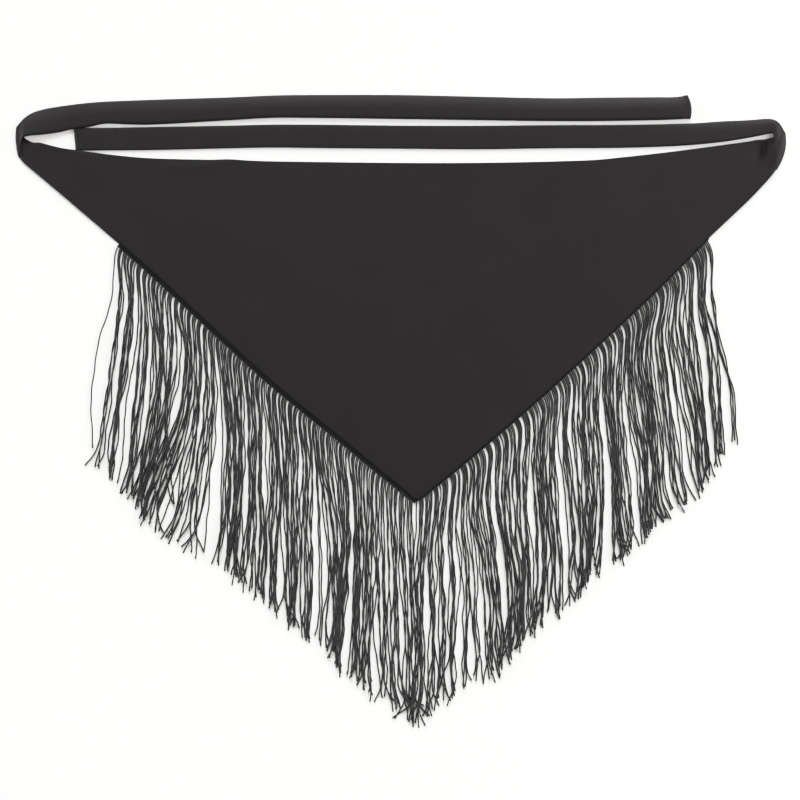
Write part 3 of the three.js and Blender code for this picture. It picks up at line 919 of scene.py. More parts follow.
@dataclass
class TieCloth:
    """A flat sewn tube that leaves a corner of the panel, is folded there, and runs along the top."""

    name: str
    side: Side
    root: tuple[TieSection, ...]
    run: tuple[TieSection, ...]
    folds: tuple[Fold, ...]
    ridge: float
    flat_power: float
    full_power: float
    length: float = field(init=False, default=0.0)
    near_power: int = 16
    fullness: float = 1.0
    half_thickness: float = 0.9
    edge_radius: float = 1.3
    edge_steps: tuple[float, ...] = (0, 0.1, 0.28, 0.52, 0.8, 1.15, 1.6, 2.3)
    field_steps: int = 8
    run_step: float = 3.2
    end_step: float = 0.45
    fold_steps: int = 16
    far_bulge: float = 0.3
    root_thinning: float = 0.1
    root_ease: float = 10.0
    hem_at: float = 3.8
    hem_groove: float = 0.5
    hem_width: float = 0.75
    hem_swell: float = 0.25
    swell_width: float = 1.5
    # How strongly the hem groove's painted shade is marked.
    hem_shade: float = 1.5
    stitch_margin: int = 5
    end_rounding: float = 0.9
    end_thinnest: float = 0.12
    end_corner: float = 1.2
    end_rows: int = 3
    # The hollow depth that gets the full painted shade.
    hollow_shade_depth: float = 1.5
    pinch: float = 0.65
    pinch_start: float = 11.0
    pinch_reach: float = 6.5
    flat_puff: float = 0.6
    full_puff: float = 1.6
    thinnest: float = 0.3
    crease_seed: int = 3
    crease_count: int = 26
    crease_margin: float = 10.0
    crease_reach: tuple[float, float] = (4, 16)
    crease_slant: float = 9.0
    crease_height: float = 0.11

    def between(self, rows: tuple[TieSection, ...], through: float) -> list[np.ndarray]:
        """Gives close sections between the rows of a table.

        Args:
            rows: The table.
            through: The direction through the cloth, 1 for up and -1 for down.

        Returns:
            For each section: low end, high end, bow, puff and the direction through the cloth.
        """
        low = np.array([(row.low_x, row.low_y, row.middle) for row in rows])
        high = np.array([(row.high_x, row.high_y, row.middle - row.tilt) for row in rows])
        middles = (low + high) / 2
        places = [0.0]
        for i, gap in enumerate(np.linalg.norm(np.diff(middles, axis=0), axis=1)):
            at_end = through < 0 and i >= len(rows) - self.end_rows
            steps = max(2, math.ceil(gap / (self.end_step if at_end else self.run_step)))
            places += [i + (k + 1) / steps for k in range(steps)]
        at = np.array(places)
        numbers = np.arange(len(rows))
        bow = np.interp(at, numbers, [row.bow for row in rows])
        puff = np.interp(at, numbers, [row.puff for row in rows])
        vector = np.tile([0.0, 0.0, through], (len(at), 1))
        return [spline(low, at), spline(high, at), bow, puff, vector]

    def fold(self, before: list[np.ndarray], after: list[np.ndarray]) -> list[np.ndarray]:
        """Gives the sections round the corner fold.

        Args:
            before: The sections of the root.
            after: The sections of the run.

        Returns:
            The fold's sections, in the same form.
        """
        angle = np.linspace(0, math.pi, self.fold_steps + 1)[1:-1, None]
        share = (1 - np.cos(angle)) / 2
        low_rise, high_rise = (after[end][0, 2] - before[end][-1, 2] for end in (0, 1))
        rise = low_rise + high_rise
        outward = np.array([[float(self.side.value), 0, 0]])
        bulge = outward * np.sin(angle) / 2
        low = before[0][-1] * (1 - share) + after[0][0] * share + abs(low_rise) * bulge
        high = before[1][-1] * (1 - share) + after[1][0] * share + self.far_bulge * abs(high_rise) * bulge
        bow = (before[2][-1] * (1 - share) + after[2][0] * share)[:, 0]
        through = np.array([[0, 0, 1.0]]) * np.cos(angle) - math.copysign(1, rise) * outward * np.sin(angle)
        return [low, high, bow, np.zeros(len(angle)), through]

    def profile(self, width: np.ndarray) -> tuple[np.ndarray, np.ndarray]:
        """Gives the points round a section of a flat tube with rounded edges.

        Args:
            width: The width of each section.

        Returns:
            How far across, from -1 to 1, and how far through, from -1 to 1, each point lies.
        """
        near_edge = np.tile(np.array(self.edge_steps), (len(width), 1))
        field_share = np.linspace(0, 1, self.field_steps + 1)[1:-1]
        to_middle = width[:, None] / 2 - near_edge[:, -1:]
        inset = np.hstack([near_edge, near_edge[:, -1:] + to_middle * field_share])
        across = -1 + 2 * inset / width[:, None]
        through = np.sqrt(rounding(inset, self.edge_radius))
        full = np.ones((len(width), 1))
        top_across = np.hstack([across, 0 * full, -across[:, ::-1]])
        top_through = np.hstack([through, full, through[:, ::-1]])
        under = slice(-2, 0, -1)
        return np.hstack([top_across, top_across[:, under]]), np.hstack([top_through, -top_through[:, under]])

    def crown(self, across: np.ndarray, puff: np.ndarray) -> np.ndarray:
        """Gives how far the puffed tube has risen across its width.

        Args:
            across: How far across each point lies, from -1 to 1.
            puff: How full each section is. A full one is rounder.

        Returns:
            The rise as a share of its greatest, highest at the ridge.
        """
        far = np.clip((across - self.ridge) / (1 - self.ridge), 0, 1)
        near = np.clip((self.ridge - across) / (1 + self.ridge), 0, 1)
        round_share = np.clip((puff - self.flat_puff) / (self.full_puff - self.flat_puff), 0, 1)
        power = self.flat_power + (self.full_power - self.flat_power) * round_share
        return (1 - far**power) * (1 - near**self.near_power)

    def creases(self, along: np.ndarray, across: np.ndarray) -> np.ndarray:
        """Gives the fine unevenness of the upper face.

        Args:
            along: How far along the tie each point lies, in millimetres.
            across: How far across it lies, from -1 to 1.

        Returns:
            The rise at each point.
        """
        random = np.random.default_rng(self.crease_seed)
        rise = np.zeros_like(along)
        for _ in range(self.crease_count):
            at = random.uniform(self.crease_margin, along.max() - self.crease_margin)
            reach = random.uniform(*self.crease_reach)
            slant = random.uniform(-self.crease_slant, self.crease_slant)
            rise += random.normal(0, self.crease_height) * bell(along - at - slant * across, reach)
        return rise

    def build(self) -> tuple[bpy.types.Object, np.ndarray]:
        """Builds the tie.

        Returns:
            The tie's object, and the line across its hemmed end for stitches, in metres.
        """
        root = self.between(self.root, 1.0)
        run = self.between(self.run, -1.0)
        parts = [root, self.fold(root, run), run]
        low, high, bow, puff, through = (np.concatenate([part[k] for part in parts]) for k in range(5))
        along = run_length((low + high) / 2)
        width = np.linalg.norm(high - low, axis=1)
        direction = (high - low) / width[:, None]
        through = through - np.sum(through * direction, axis=1)[:, None] * direction
        through /= np.linalg.norm(through, axis=1)[:, None]
        across, level = self.profile(width)
        from_end = along[-1] - along
        groove = bell(from_end - self.hem_at, self.hem_width)
        thick = 1 - self.hem_groove * groove
        thick -= self.root_thinning * np.clip(1 - along / self.root_ease, 0, 1)
        thick += self.hem_swell * bell(from_end - self.hem_at / 2, self.swell_width)
        thick *= np.sqrt(np.maximum(rounding(from_end, self.end_rounding), self.end_thinnest))
        narrow = self.end_corner * (1 - np.sqrt(rounding(from_end, self.end_corner)))
        bent = np.maximum(1 - across**2, 0)
        across = across * (1 - 2 * narrow / width)[:, None]
        share = (1 + across) / 2
        points = low[:, None, :] * (1 - share[..., None]) + high[:, None, :] * share[..., None]
        points[..., 0] += self.side.value * bow[:, None] * bent
        points += through[:, None, :] * (level * self.half_thickness * thick[:, None])[..., None]
        upper = np.maximum(0, level * through[:, 2:3])
        lift = self.fullness * puff[:, None] * self.crown(across, puff[:, None])
        wide_along = np.broadcast_to(along[:, None], across.shape)
        lift += np.minimum(puff[:, None], 1) * self.creases(wide_along, across)
        turned = ease_in((1 - np.abs(across)) * width[:, None] / 2, TURNED_EDGE)
        face_up = np.clip(through[:, 2:3], 0, 1)
        for fold in self.folds:
            lift += turned * fold.rise(points[..., 0], points[..., 1]) * face_up
        lowest = np.minimum(points[..., 2], self.thinnest)
        points[..., 2] += lift * upper * np.minimum(1, (1 + thick[:, None]) / 2)
        points[..., 2] = np.maximum(points[..., 2], lowest)
        turn = len(root[0]) + self.fold_steps // 2
        line = points[turn, : across.shape[1] // 2 + 1, :2]
        away = np.linalg.norm(points[..., None, :2] - line, axis=-1).min(axis=-1)
        past_panel = np.clip((along - self.pinch_start) / self.pinch_reach, 0, 1)[:, None]
        points[..., 2] = np.maximum(points[..., 2], 0)
        points[..., 2] *= 1 - self.pinch * past_panel * bell(away, self.pinch_reach)
        uv = np.stack([wide_along, across * width[:, None] / 2], axis=-1)
        # Painted shade: the groove across the hemmed end and the hollows of the corner folds are marked for
        # the material to darken.
        seam_shade = self.hem_groove * self.hem_shade * groove
        sunk = hollow_shade(self.folds, points[..., 0], points[..., 1], self.hollow_shade_depth) * face_up
        tie = shell(self.name, points * MM, uv * MM, np.maximum(seam_shade[:, None], sunk))
        self.length = float(along[-1])
        at = int(np.argmin(np.abs(from_end - self.hem_at)))
        upper_face = np.concatenate([points[at][across.shape[1] // 2 :], points[at][:1]])
        return tie, upper_face[self.stitch_margin : -self.stitch_margin] * MM


# The fringe.


@dataclass(frozen=True)
class Lock:
    """A run of the hem whose cords lie together, and where they lie at five depths below the hem."""

    hem: tuple[float, float]
    places: tuple[tuple[float, float], ...]
    length: float
    weight: float


LOCK_DEPTHS = (55.0, 110.0, 165.0, 220.0, 245.0)


def lock(*numbers: float, length: float = 246.0, weight: float = 1.0) -> Lock:
    """Makes a lock from its row of numbers.

    Args:
        *numbers: From and to on the hem, then from and to at each depth.
        length: The length of its cords.
        weight: How likely a cord on its run of hem is to join it, against others there.

    Returns:
        The lock.
    """
    pairs = tuple(zip(numbers[::2], numbers[1::2]))
    return Lock(pairs[0], pairs[1:], length, weight)


LEFT_LOCKS = (
    lock(-311, -307.6, -320, -318, -335, -331, -342, -338, -341, -335, -345, -336, length=238),
    lock(-307.6, -301, -311, -304, -319, -311, -326, -318, -333, -324, -344, -324, length=242),
    lock(-301, -289, -301, -294, -308, -300, -315, -308, -322, -312, -327, -318),
    lock(-289, -286, -290, -288, -297, -294, -304, -300, -310, -307, -311, -308),
    lock(-286, -276, -286, -278, -289, -279, -294, -286, -300, -293, -309, -300),
    lock(-276, -260, -276, -261, -270, -263, -278, -272, -292, -286, -297, -292),
    lock(-260, -245, -261, -246, -264, -256, -272, -264, -287, -280, -294, -285),
    lock(-245, -224, -239, -226, -244, -232, -265, -249, -284, -273, -284, -275),
    lock(-224, -213, -226, -217, -229, -220, -240, -227, -253, -241, -267, -252),
    lock(-213, -201, -212, -201, -216, -206, -229, -218, -232, -218, -232, -217),
    lock(-201, -186, -196, -186, -190, -182, -190, -177, -190, -182, -197, -183),
    lock(-186, -169, -186, -172, -183, -173, -186, -175, -188, -179, -188, -179),
    lock(-169, -157, -165, -158, -165, -161, -166, -160, -169, -163, -170, -164),
    lock(-157, -148, -157, -153, -158, -153, -155, -148, -155, -150, -156, -150),
    lock(-148, -131, -144, -133, -140, -131, -144, -136, -144, -138, -145, -139),
    lock(-131, -111, -129, -113, -130, -114, -127, -113, -128, -116, -128, -117),
    lock(-111, -94, -109, -95, -111, -98, -112, -96, -111, -98, -111, -100),
    lock(-94, -73, -91, -75, -82, -66, -81, -63, -87, -65, -89, -67),
    lock(-73, -56, -70, -57, -65, -56, -69, -63, -74, -65, -74, -66),
    lock(-56, -38, -51, -43, -51, -42, -52, -44, -54, -46, -55, -47),
    lock(-38, -25, -41, -30, -40, -31, -43, -34, -45, -36, -45, -37),
    lock(-25, -16, -28, -21, -28, -21, -28, -14, -25, -12, -24, -10),
    lock(-16, -1, -16, -2, -12, -1, -12, -3, -12, -2, -14, -1),
    lock(-1, 16, -1, 16, 3, 16, 9, 20, 2, 22, -6, 30),
    lock(-276, -252, -271, -260, -262, -256, -257, -253, -248, -242, -239, -234, weight=0.35),
    lock(-216, -201, -212, -204, -216, -207, -226, -215, -241, -227, -262, -249, weight=0.5),
    lock(-199, -182, -197, -184, -193, -182, -190, -182, -205, -190, -227, -208, weight=0.4),
    lock(-173, -160, -168, -162, -166, -162, -168, -162, -177, -166, -186, -177, weight=0.3),
    lock(-24, 8, -16, -2, -12, -1, -12, -1, -4, 12, 22, 54, weight=1.3),
)
RIGHT_LOCKS = (
    lock(16, 32, 15, 29, 13, 23, 12, 24, 8, 25, -4, 30),
    lock(32, 43, 30, 37, 30, 38, 32, 41, 29, 38, 26, 37),
    lock(43, 52, 38, 50, 40, 48, 40, 51, 41, 51, 38, 54),
    lock(52, 62, 50, 61, 52, 65, 53, 59, 50, 56, 47, 59),
    lock(62, 74, 62, 78, 67, 85, 70, 87, 72, 89, 72, 90),
    lock(74, 98, 76, 98, 87, 103, 95, 109, 98, 111, 101, 114),
    lock(98, 118, 100, 120, 109, 120, 114, 131, 112, 128, 109, 125),
    lock(118, 139, 122, 140, 122, 140, 131, 142, 131, 142, 131, 142),
    lock(139, 156, 145, 158, 151, 158, 153, 160, 150, 158, 147, 158),
    lock(156, 170, 156, 170, 158, 169, 164, 175, 166, 175, 167, 175),
    lock(170, 183, 177, 183, 182, 188, 186, 197, 187, 197, 188, 199),
    lock(183, 216, 191, 216, 197, 219, 197, 221, 197, 216, 197, 210),
    lock(216, 226, 223, 229, 232, 235, 235, 239, 238, 241, 240, 244),
    lock(226, 243, 230, 243, 233, 241, 237, 242, 240, 248, 243, 254),
    lock(243, 258, 248, 258, 252, 268, 264, 274, 265, 276, 266, 279),
    lock(258, 279, 258, 274, 268, 279, 274, 285, 276, 287, 279, 294),
    lock(279, 294, 279, 290, 283, 298, 288, 304, 298, 309, 305, 318),
    lock(294, 307, 294, 307, 298, 318, 318, 329, 323, 338, 332, 349, length=242),
    lock(307, 318, 312, 322, 317, 329, 321, 337, 322, 341, 323, 345, length=240),
    lock(318, 333, 325, 336, 334, 349, 337, 355, 341, 360, 345, 363, length=234),
    lock(333, 338, 341, 344, 349, 353, 361, 367, 364, 371, 364, 371, length=226),
)


@dataclass
class CordBed:
    """A height map of what already lies on the table, so that each cord comes to lie on the last."""

    cell: float = PATH_STEP
    origin: tuple[float, float] = (-380.0, -370.0)
    size: tuple[int, int] = (1600, 1200)
    nest: float = 0.62
    deepest: float = 4.5
    drape: int = 9
    side_hold: float = 0.8
    root_ease: float = 5.0
    shoulder: float = 0.35

    def __post_init__(self) -> None:
        """Starts with a bare table."""
        self.heights = np.zeros(self.size)

    def lay(self, plan: np.ndarray, radius: float, root: float) -> np.ndarray:
        """Lays one cord on what is there.

        Args:
            plan: The cord's close points in plan, one cell apart.
            radius: The cord's radius.
            root: The height of its first point.

        Returns:
            The height of the cord's middle at each point.
        """
        i, j = np.round((plan - np.array(self.origin)) / self.cell).astype(int).T
        ground = self.heights[i, j]
        for aside in (-1, 1):
            ground = np.maximum(ground, self.heights[i + aside, j] * self.side_hold)
        padded = np.pad(ground, self.drape, mode="edge")
        bridge = np.lib.stride_tricks.sliding_window_view(padded, 2 * self.drape + 1).max(axis=1)
        kernel = np.hanning(2 * self.drape + 3)[1:-1]
        soft = np.convolve(np.pad(bridge, self.drape, mode="edge"), kernel / kernel.sum(), mode="valid")
        middle = self.deepest * ease_in(soft, self.deepest) + radius
        start = np.exp(-np.arange(len(plan)) * self.cell / self.root_ease)
        middle = middle * (1 - start) + np.maximum(root, middle) * start
        top = middle + radius * self.nest
        for aside in (-1, 0, 1):
            np.maximum.at(self.heights, (i + aside, j), top - abs(aside) * self.shoulder * radius)
        return middle


@dataclass
class Fringe:
    """One edge's fringe: the header tape, its binding stitches and its cords."""

    side: Side
    locks: tuple[Lock, ...]
    tape_width: float
    tape_top: float
    turn_reach: float
    turn_fade: float
    bunch_sizes: tuple[int, int] = (1, 5)
    bunch_spread: tuple[float, float] = (0.58, 0.88)
    pitch: float = 2.2
    cord_radius: float = 0.69
    seam_gap: float = 0.1
    tape_steps: int = 150
    tip_steps: int = 31
    tip_reach: float = 12.0
    tape_low: float = 0.15
    tape_lap: float = 0.3
    tape_under: tuple[tuple[float, float], ...] = ((0.4, 0.0), (0.0, 0.5))
    tape_outer: tuple[tuple[float, float], ...] = ((0.0, 0.9), (0.35, 0.3), (0.9, 0.0))
    tape_inner: tuple[tuple[float, float], ...] = ((0.5, 0.0), (0.0, 0.35))
    binding_steps: int = 260
    binding_inset: float = 0.5
    binding_sink: float = 0.1
    root_inset: float = 0.8
    root_height: float = 1.2
    flow_width: float = 14.0
    straight_reach: float = 30.0
    tangle_reach: float = 58.0
    end_hold: float = 24.0
    mingling: tuple[float, ...] = (0.08, 0.16, 0.28, 0.42, 0.6)
    scatter: tuple[float, ...] = (0.5, 1.0, 1.6, 2.3, 3.0)
    free_share: float = 0.5
    free_at_tip: float = 0.4
    loose_join: tuple[float, float] = (0.0, 0.4)
    firm_join: tuple[float, float] = (0.4, 0.9)
    run_on: float = 18.0
    run_on_lean: float = 0.5
    plan_points: int = 540
    wave_height: tuple[float, float] = (0.3, 1.2)
    wave_length: tuple[float, float] = (45, 95)
    shiver_height: float = 0.3
    shiver_length: tuple[float, float] = (14, 30)
    wave_ease: float = 25.0
    wild_share: float = 0.2
    wild_tangle: float = 0.6
    bend_drift: float = 6.0
    calm_bend: float = 4.5
    wild_bend: float = 8.0
    tangled_bend: float = 10.0
    flick_start: tuple[float, float] = (15, 50)
    flick_reach: float = 50.0
    flick_most: float = 1.2
    slack: float = 3.0
    uneven_cut: float = 3.5
    short_cut: float = 4.5
    cord_points: int = 58
    crowding: float = 0.45
    crowding_power: float = 1.6
    slow_flare: float = 0.14
    end_flare: float = 0.22
    flare_reach: float = 1.6
    twist_shift: float = 0.01
    seed: int = SEED

    @property
    def span(self) -> list[float]:
        """The x of the two ends of this fringe's hem, in rising order."""
        return sorted((FRINGE_END[self.side], TIP_X))

    def hem_places(self) -> np.ndarray:
        """Gives the places on the hem where cords start, evenly apart but drawn into small groups."""
        x = np.linspace(*self.span, HEM_SAMPLES)
        length = run_length(np.stack([x, HEM.y(x)], axis=-1))
        count = int(length[-1] / self.pitch)
        random = np.random.default_rng(self.seed)
        even = (np.arange(count) + 0.5) * self.pitch
        at = even.copy()
        group = 0
        while group < count:
            members = slice(group, min(group + int(random.integers(*self.bunch_sizes)), count))
            middle = even[members].mean()
            at[members] = middle + (even[members] - middle) * random.uniform(*self.bunch_spread)
            group = members.stop
        return np.interp(at, length, x)

    def choose(self, x: float, random: np.random.Generator) -> Lock:
        """Chooses the lock of a cord.

        Args:
            x: Where the cord starts on the hem.
            random: The seeded numbers.

        Returns:
            One of the locks that lie over that place, or else the nearest.
        """
        near = [item for item in self.locks if item.hem[0] <= x <= item.hem[1]]
        near = near or [min(self.locks, key=lambda item: min(abs(x - item.hem[0]), abs(x - item.hem[1])))]
        weights = np.array([item.weight for item in near])
        return near[int(random.choice(len(near), p=weights / weights.sum()))]

    def flow(self, x: float) -> np.ndarray:
        """Gives where a cord would lie at each depth if it followed the locks round it without joining one.

        Args:
            x: Where it starts on the hem.

        Returns:
            Its place at each depth.
        """
        main = [item for item in self.locks if item.weight == 1]
        middles = np.array([sum(item.hem) / 2 for item in main])
        shifts = np.array([[sum(pair) / 2 for pair in item.places] for item in main]) - middles[:, None]
        weight = bell(middles - x, self.flow_width)
        return x + (weight[:, None] * shifts).sum(axis=0) / weight.sum()

    def places(
        self, x: float, lock_here: Lock, middle_share: float, random: np.random.Generator
    ) -> np.ndarray:
        """Gives where one cord lies at each depth.

        Args:
            x: Where it starts on the hem.
            lock_here: Its lock.
            middle_share: How near it is to the tip, from 0 to 1.
            random: The seeded numbers.

        Returns:
            Its x at each depth.
        """
        low, high = lock_here.hem
        own = np.clip((x - low) / max(high - low, TINY), 0, 1)
        other = random.uniform()
        shares = [own * (1 - mingled) + other * mingled for mingled in self.mingling]
        held = [a + (b - a) * share for (a, b), share in zip(lock_here.places, shares)]
        loose = random.uniform() < self.free_share + self.free_at_tip * middle_share
        join = random.uniform(*(self.loose_join if loose else self.firm_join))
        if abs(x - FRINGE_END[self.side]) < self.end_hold:
            join = 1.0
        return join * np.array(held) + (1 - join) * self.flow(x) + random.normal(0, self.scatter)

    def plan(self, x: float, random: np.random.Generator) -> np.ndarray:
        """Gives the way of one cord in plan.

        Args:
            x: Where it starts on the hem.
            random: The seeded numbers.

        Returns:
            Its points, one path step apart.
        """
        lock_here = self.choose(x, random)
        middle_share = math.exp(-abs(x - TIP_X) / self.straight_reach)
        places = self.places(x, lock_here, middle_share, random)
        root = below_hem(x, self.seam_gap + self.tape_width - self.root_inset)
        root[0] = x + (root[0] - x) * (1 - middle_share)
        turn = self.side.value * self.turn_reach * (1 - middle_share)
        last = LOCK_DEPTHS[-1]
        knots = np.array([0.0, *LOCK_DEPTHS, last + self.run_on])
        beyond = places[-1] + (places[-1] - places[-2]) * self.run_on_lean
        values = np.array([root[0] + turn, *places, beyond])
        depth = np.linspace(0, knots[-1], self.plan_points)
        at = np.interp(depth, knots, np.arange(len(knots)))
        down, aside = spline(np.stack([knots, values], axis=-1), at).T
        wave = random.uniform(*self.wave_height) * ripple(depth, self.wave_length, random)
        shiver = self.shiver_height * ripple(depth, self.shiver_length, random)
        tangle = bell(x - TIP_X, self.tangle_reach)
        wild = random.uniform() < self.wild_share + self.wild_tangle * tangle
        width = self.wild_bend + self.tangled_bend * tangle if wild else self.calm_bend
        bend = random.normal(self.bend_drift * tangle, width)
        late = (depth - last + random.uniform(*self.flick_start)) / self.flick_reach
        sway = (wave + shiver) * ease_in(depth, self.wave_ease)
        aside = aside - turn * np.exp(-down / self.turn_fade) + sway
        aside += bend * np.clip(late, 0, self.flick_most) ** 2
        path = np.stack([aside, root[1] - down], axis=-1)
        cut = lock_here.length + self.slack * (1 + middle_share)
        cut += random.normal(0, self.uneven_cut) - abs(random.normal(0, self.short_cut))
        return resample(path, np.arange(0, cut, PATH_STEP))

    def tape(self) -> bpy.types.Object:
        """Builds the header tape.

        Returns:
            Its object.
        """
        start, end = self.span
        near_tip = np.linspace(TIP_X - self.tip_reach, TIP_X + self.tip_reach, self.tip_steps)
        x = np.concatenate([np.linspace(start, end, self.tape_steps), near_tip])
        x = np.unique(x[(x >= start) & (x <= end)])
        low, top = self.tape_low, self.tape_top
        outer, inner = self.seam_gap + self.tape_width, self.seam_gap - self.tape_lap
        rim = [(inner, low)]
        rim += [(outer - inset, low + rise) for inset, rise in self.tape_under]
        rim += [(outer - inset, top - drop) for inset, drop in self.tape_outer]
        rim += [((inner + outer) / 2, top)]
        rim += [(inner + inset, top - drop) for inset, drop in self.tape_inner]
        lines = [np.concatenate([below_hem(x, d), np.full((len(x), 1), z)], axis=1) for d, z in rim]
        rings = np.stack(lines, axis=1)
        across = np.broadcast_to(np.array([d for d, _ in rim])[None, :], rings.shape[:2])
        uv = np.stack([rings[..., 0], across], axis=-1)
        return shell(f"header_tape_{self.side.name.lower()}", rings * MM, uv * MM)

    def binding(self) -> bpy.types.Object:
        """Gives the line that the header's binding stitches follow."""
        start, end = self.span
        x = np.linspace(start + self.binding_inset, end - self.binding_inset, self.binding_steps)
        line = below_hem(x, self.seam_gap + self.tape_width / 2)
        height = np.full((len(x), 1), self.tape_top - self.binding_sink)
        path = np.concatenate([line, height], axis=1)
        return path_object(f"header_stitches_{self.side.name.lower()}", [path * MM], {})

    def cords(self) -> bpy.types.Object:
        """Lays the cords one by one.

        Returns:
            The object that holds their paths.
        """
        random = np.random.default_rng(self.seed + self.side.value)
        plans = [self.plan(float(x), random) for x in self.hem_places()]
        bed = CordBed()
        order = random.permutation(len(plans))
        middles = {number: bed.lay(plans[number], self.cord_radius, self.root_height) for number in order}
        paths, alongs, flares = [], [], []
        for number, plan in enumerate(plans):
            length = (len(plan) - 1) * PATH_STEP
            turn = np.linspace(0, 1, self.cord_points)
            at = length * ((1 - self.crowding) * turn + self.crowding * turn**self.crowding_power)
            close = np.arange(len(plan)) * PATH_STEP
            columns = (plan[:, 0], plan[:, 1], middles[number])
            path = np.stack([np.interp(at, close, column) for column in columns], axis=-1)
            flare = 1 + self.slow_flare * turn + self.end_flare * np.exp(-(length - at) / self.flare_reach)
            path[:, 2] += self.cord_radius * (flare - 1)
            paths.append(path * MM)
            alongs.append(at * MM + random.uniform(0, self.twist_shift))
            flares.append(flare)
        name = f"fringe_cords_{self.side.name.lower()}"
        return path_object(name, paths, {"along": alongs, "flare": flares})


# The table, the light and the camera.


@dataclass(frozen=True)
class Sun:
    """A broad, distant light."""

    name: str
    turn: float
    rise: float
    strength: float
    spread: float


COMBINED_CHANNEL = 3


@dataclass
class Studio:
    """A white table under soft light, seen from straight above."""

    frame_width: float = 0.88
    centre: tuple[float, float] = (-0.0011, 0.01254)
    lens: float = 85.0
    sensor: float = 36.0
    table_size: float = 8.0
    table_depth: float = 0.0003
    suns: tuple[Sun, ...] = (
        Sun("window_light", 90, 25, 5.2, 34),
        Sun("left_light", 176, 8, 2.8, 15),
        Sun("right_light", 6, 22, 2.2, 30),
        Sun("front_light", 275, 30, 0.25, 60),
    )
    sun_distance: float = 3.0
    side_power: float = 7.0
    side_place: tuple[float, float, float] = (1.5, 0.15, 0.75)
    side_size: float = 0.9
    sky_strength: float = 0.42
    sky_colour: Colour = (1.0, 0.958, 0.932)
    sun_colour: Colour = (0.985, 1.0, 1.0)
    tone_inputs: tuple[float, ...] = (0.0, 0.06, 0.25, 0.5, 0.8, 1.1, 1.335)
    tone_outputs: tuple[float, ...] = (0.0, 0.06, 0.3, 0.56, 0.8, 0.935, 1.0)

    def table(self) -> bpy.types.Object:
        """Lays the table top and returns it."""
        half = self.table_size / 2
        corners = [(-half, -half), (half, -half), (half, half), (-half, half)]
        mesh = bpy.data.meshes.new("table")
        mesh.from_pydata([(x, y, -self.table_depth) for x, y in corners], [], [(0, 1, 2, 3)])
        mesh.materials.append(TableFinish().build())
        top = link(bpy.data.objects.new("table", mesh))
        return top

    def hang(self, light: bpy.types.Light, place: Vector) -> bpy.types.Object:
        """Puts a light at a place, turned to the middle of the scarf."""
        lamp = link(bpy.data.objects.new(light.name, light))
        lamp.location = place
        lamp.rotation_euler = (-place).to_track_quat("-Z", "Y").to_euler()
        lamp.visible_camera = False
        return lamp

    def lights(self) -> None:
        """Hangs the distant lights and the near one at the right."""
        for sun in self.suns:
            light = bpy.data.lights.new(sun.name, "SUN")
            light.energy = sun.strength
            light.color = self.sun_colour
            light.angle = math.radians(sun.spread)
            turn, rise = math.radians(sun.turn), math.radians(sun.rise)
            level = math.cos(rise)
            aim = Vector((level * math.cos(turn), level * math.sin(turn), math.sin(rise)))
            self.hang(light, self.sun_distance * aim)
        side = bpy.data.lights.new("side_light", "AREA")
        side.shape = "SQUARE"
        side.size = self.side_size
        side.energy = self.side_power
        self.hang(side, Vector(self.side_place))

    def tone(self, view: bpy.types.ColorManagedViewSettings) -> None:
        """Gives the picture a camera's tone curve, which rounds off towards white."""
        view.view_transform = "Standard"
        view.look = "None"
        view.use_curve_mapping = True
        mapping = view.curve_mapping
        mapping.use_clip = False
        curve = mapping.curves[COMBINED_CHANNEL]
        places = list(zip(self.tone_inputs, self.tone_outputs))
        for end in (0, -1):
            curve.points[end].location = places[end]
        for place in places[1:-1]:
            curve.points.new(*place)
        mapping.update()

    def build(self) -> None:
        """Sets up the table, the lights, the sky and the camera."""
        self.table()
        self.lights()
        world = bpy.data.worlds.new("studio")
        world.use_nodes = True
        sky = world.node_tree.nodes["Background"].inputs
        sky["Color"].default_value = (*self.sky_colour, 1)
        sky["Strength"].default_value = self.sky_strength
        scene = bpy.context.scene
        scene.world = world
        self.tone(scene.view_settings)
        camera_data = bpy.data.cameras.new("camera")
        camera_data.lens = self.lens
        camera_data.sensor_width = self.sensor
        camera = link(bpy.data.objects.new("camera", camera_data))
        camera.location = (*self.centre, self.frame_width * self.lens / self.sensor)
        scene.camera = camera


# The scarf.

HEM_STITCH = {"Pitch": 0.0024, "Length": 0.0019, "Lift": 0.0005, "Thread Radius": 0.00022}
HEADER_STITCH = {"Pitch": 0.00226, "Length": 0.0024, "Lift": 0.0009, "Thread Radius": 0.00034}
HEADER_SPREAD = 0.3
CORD_SIDES = 6


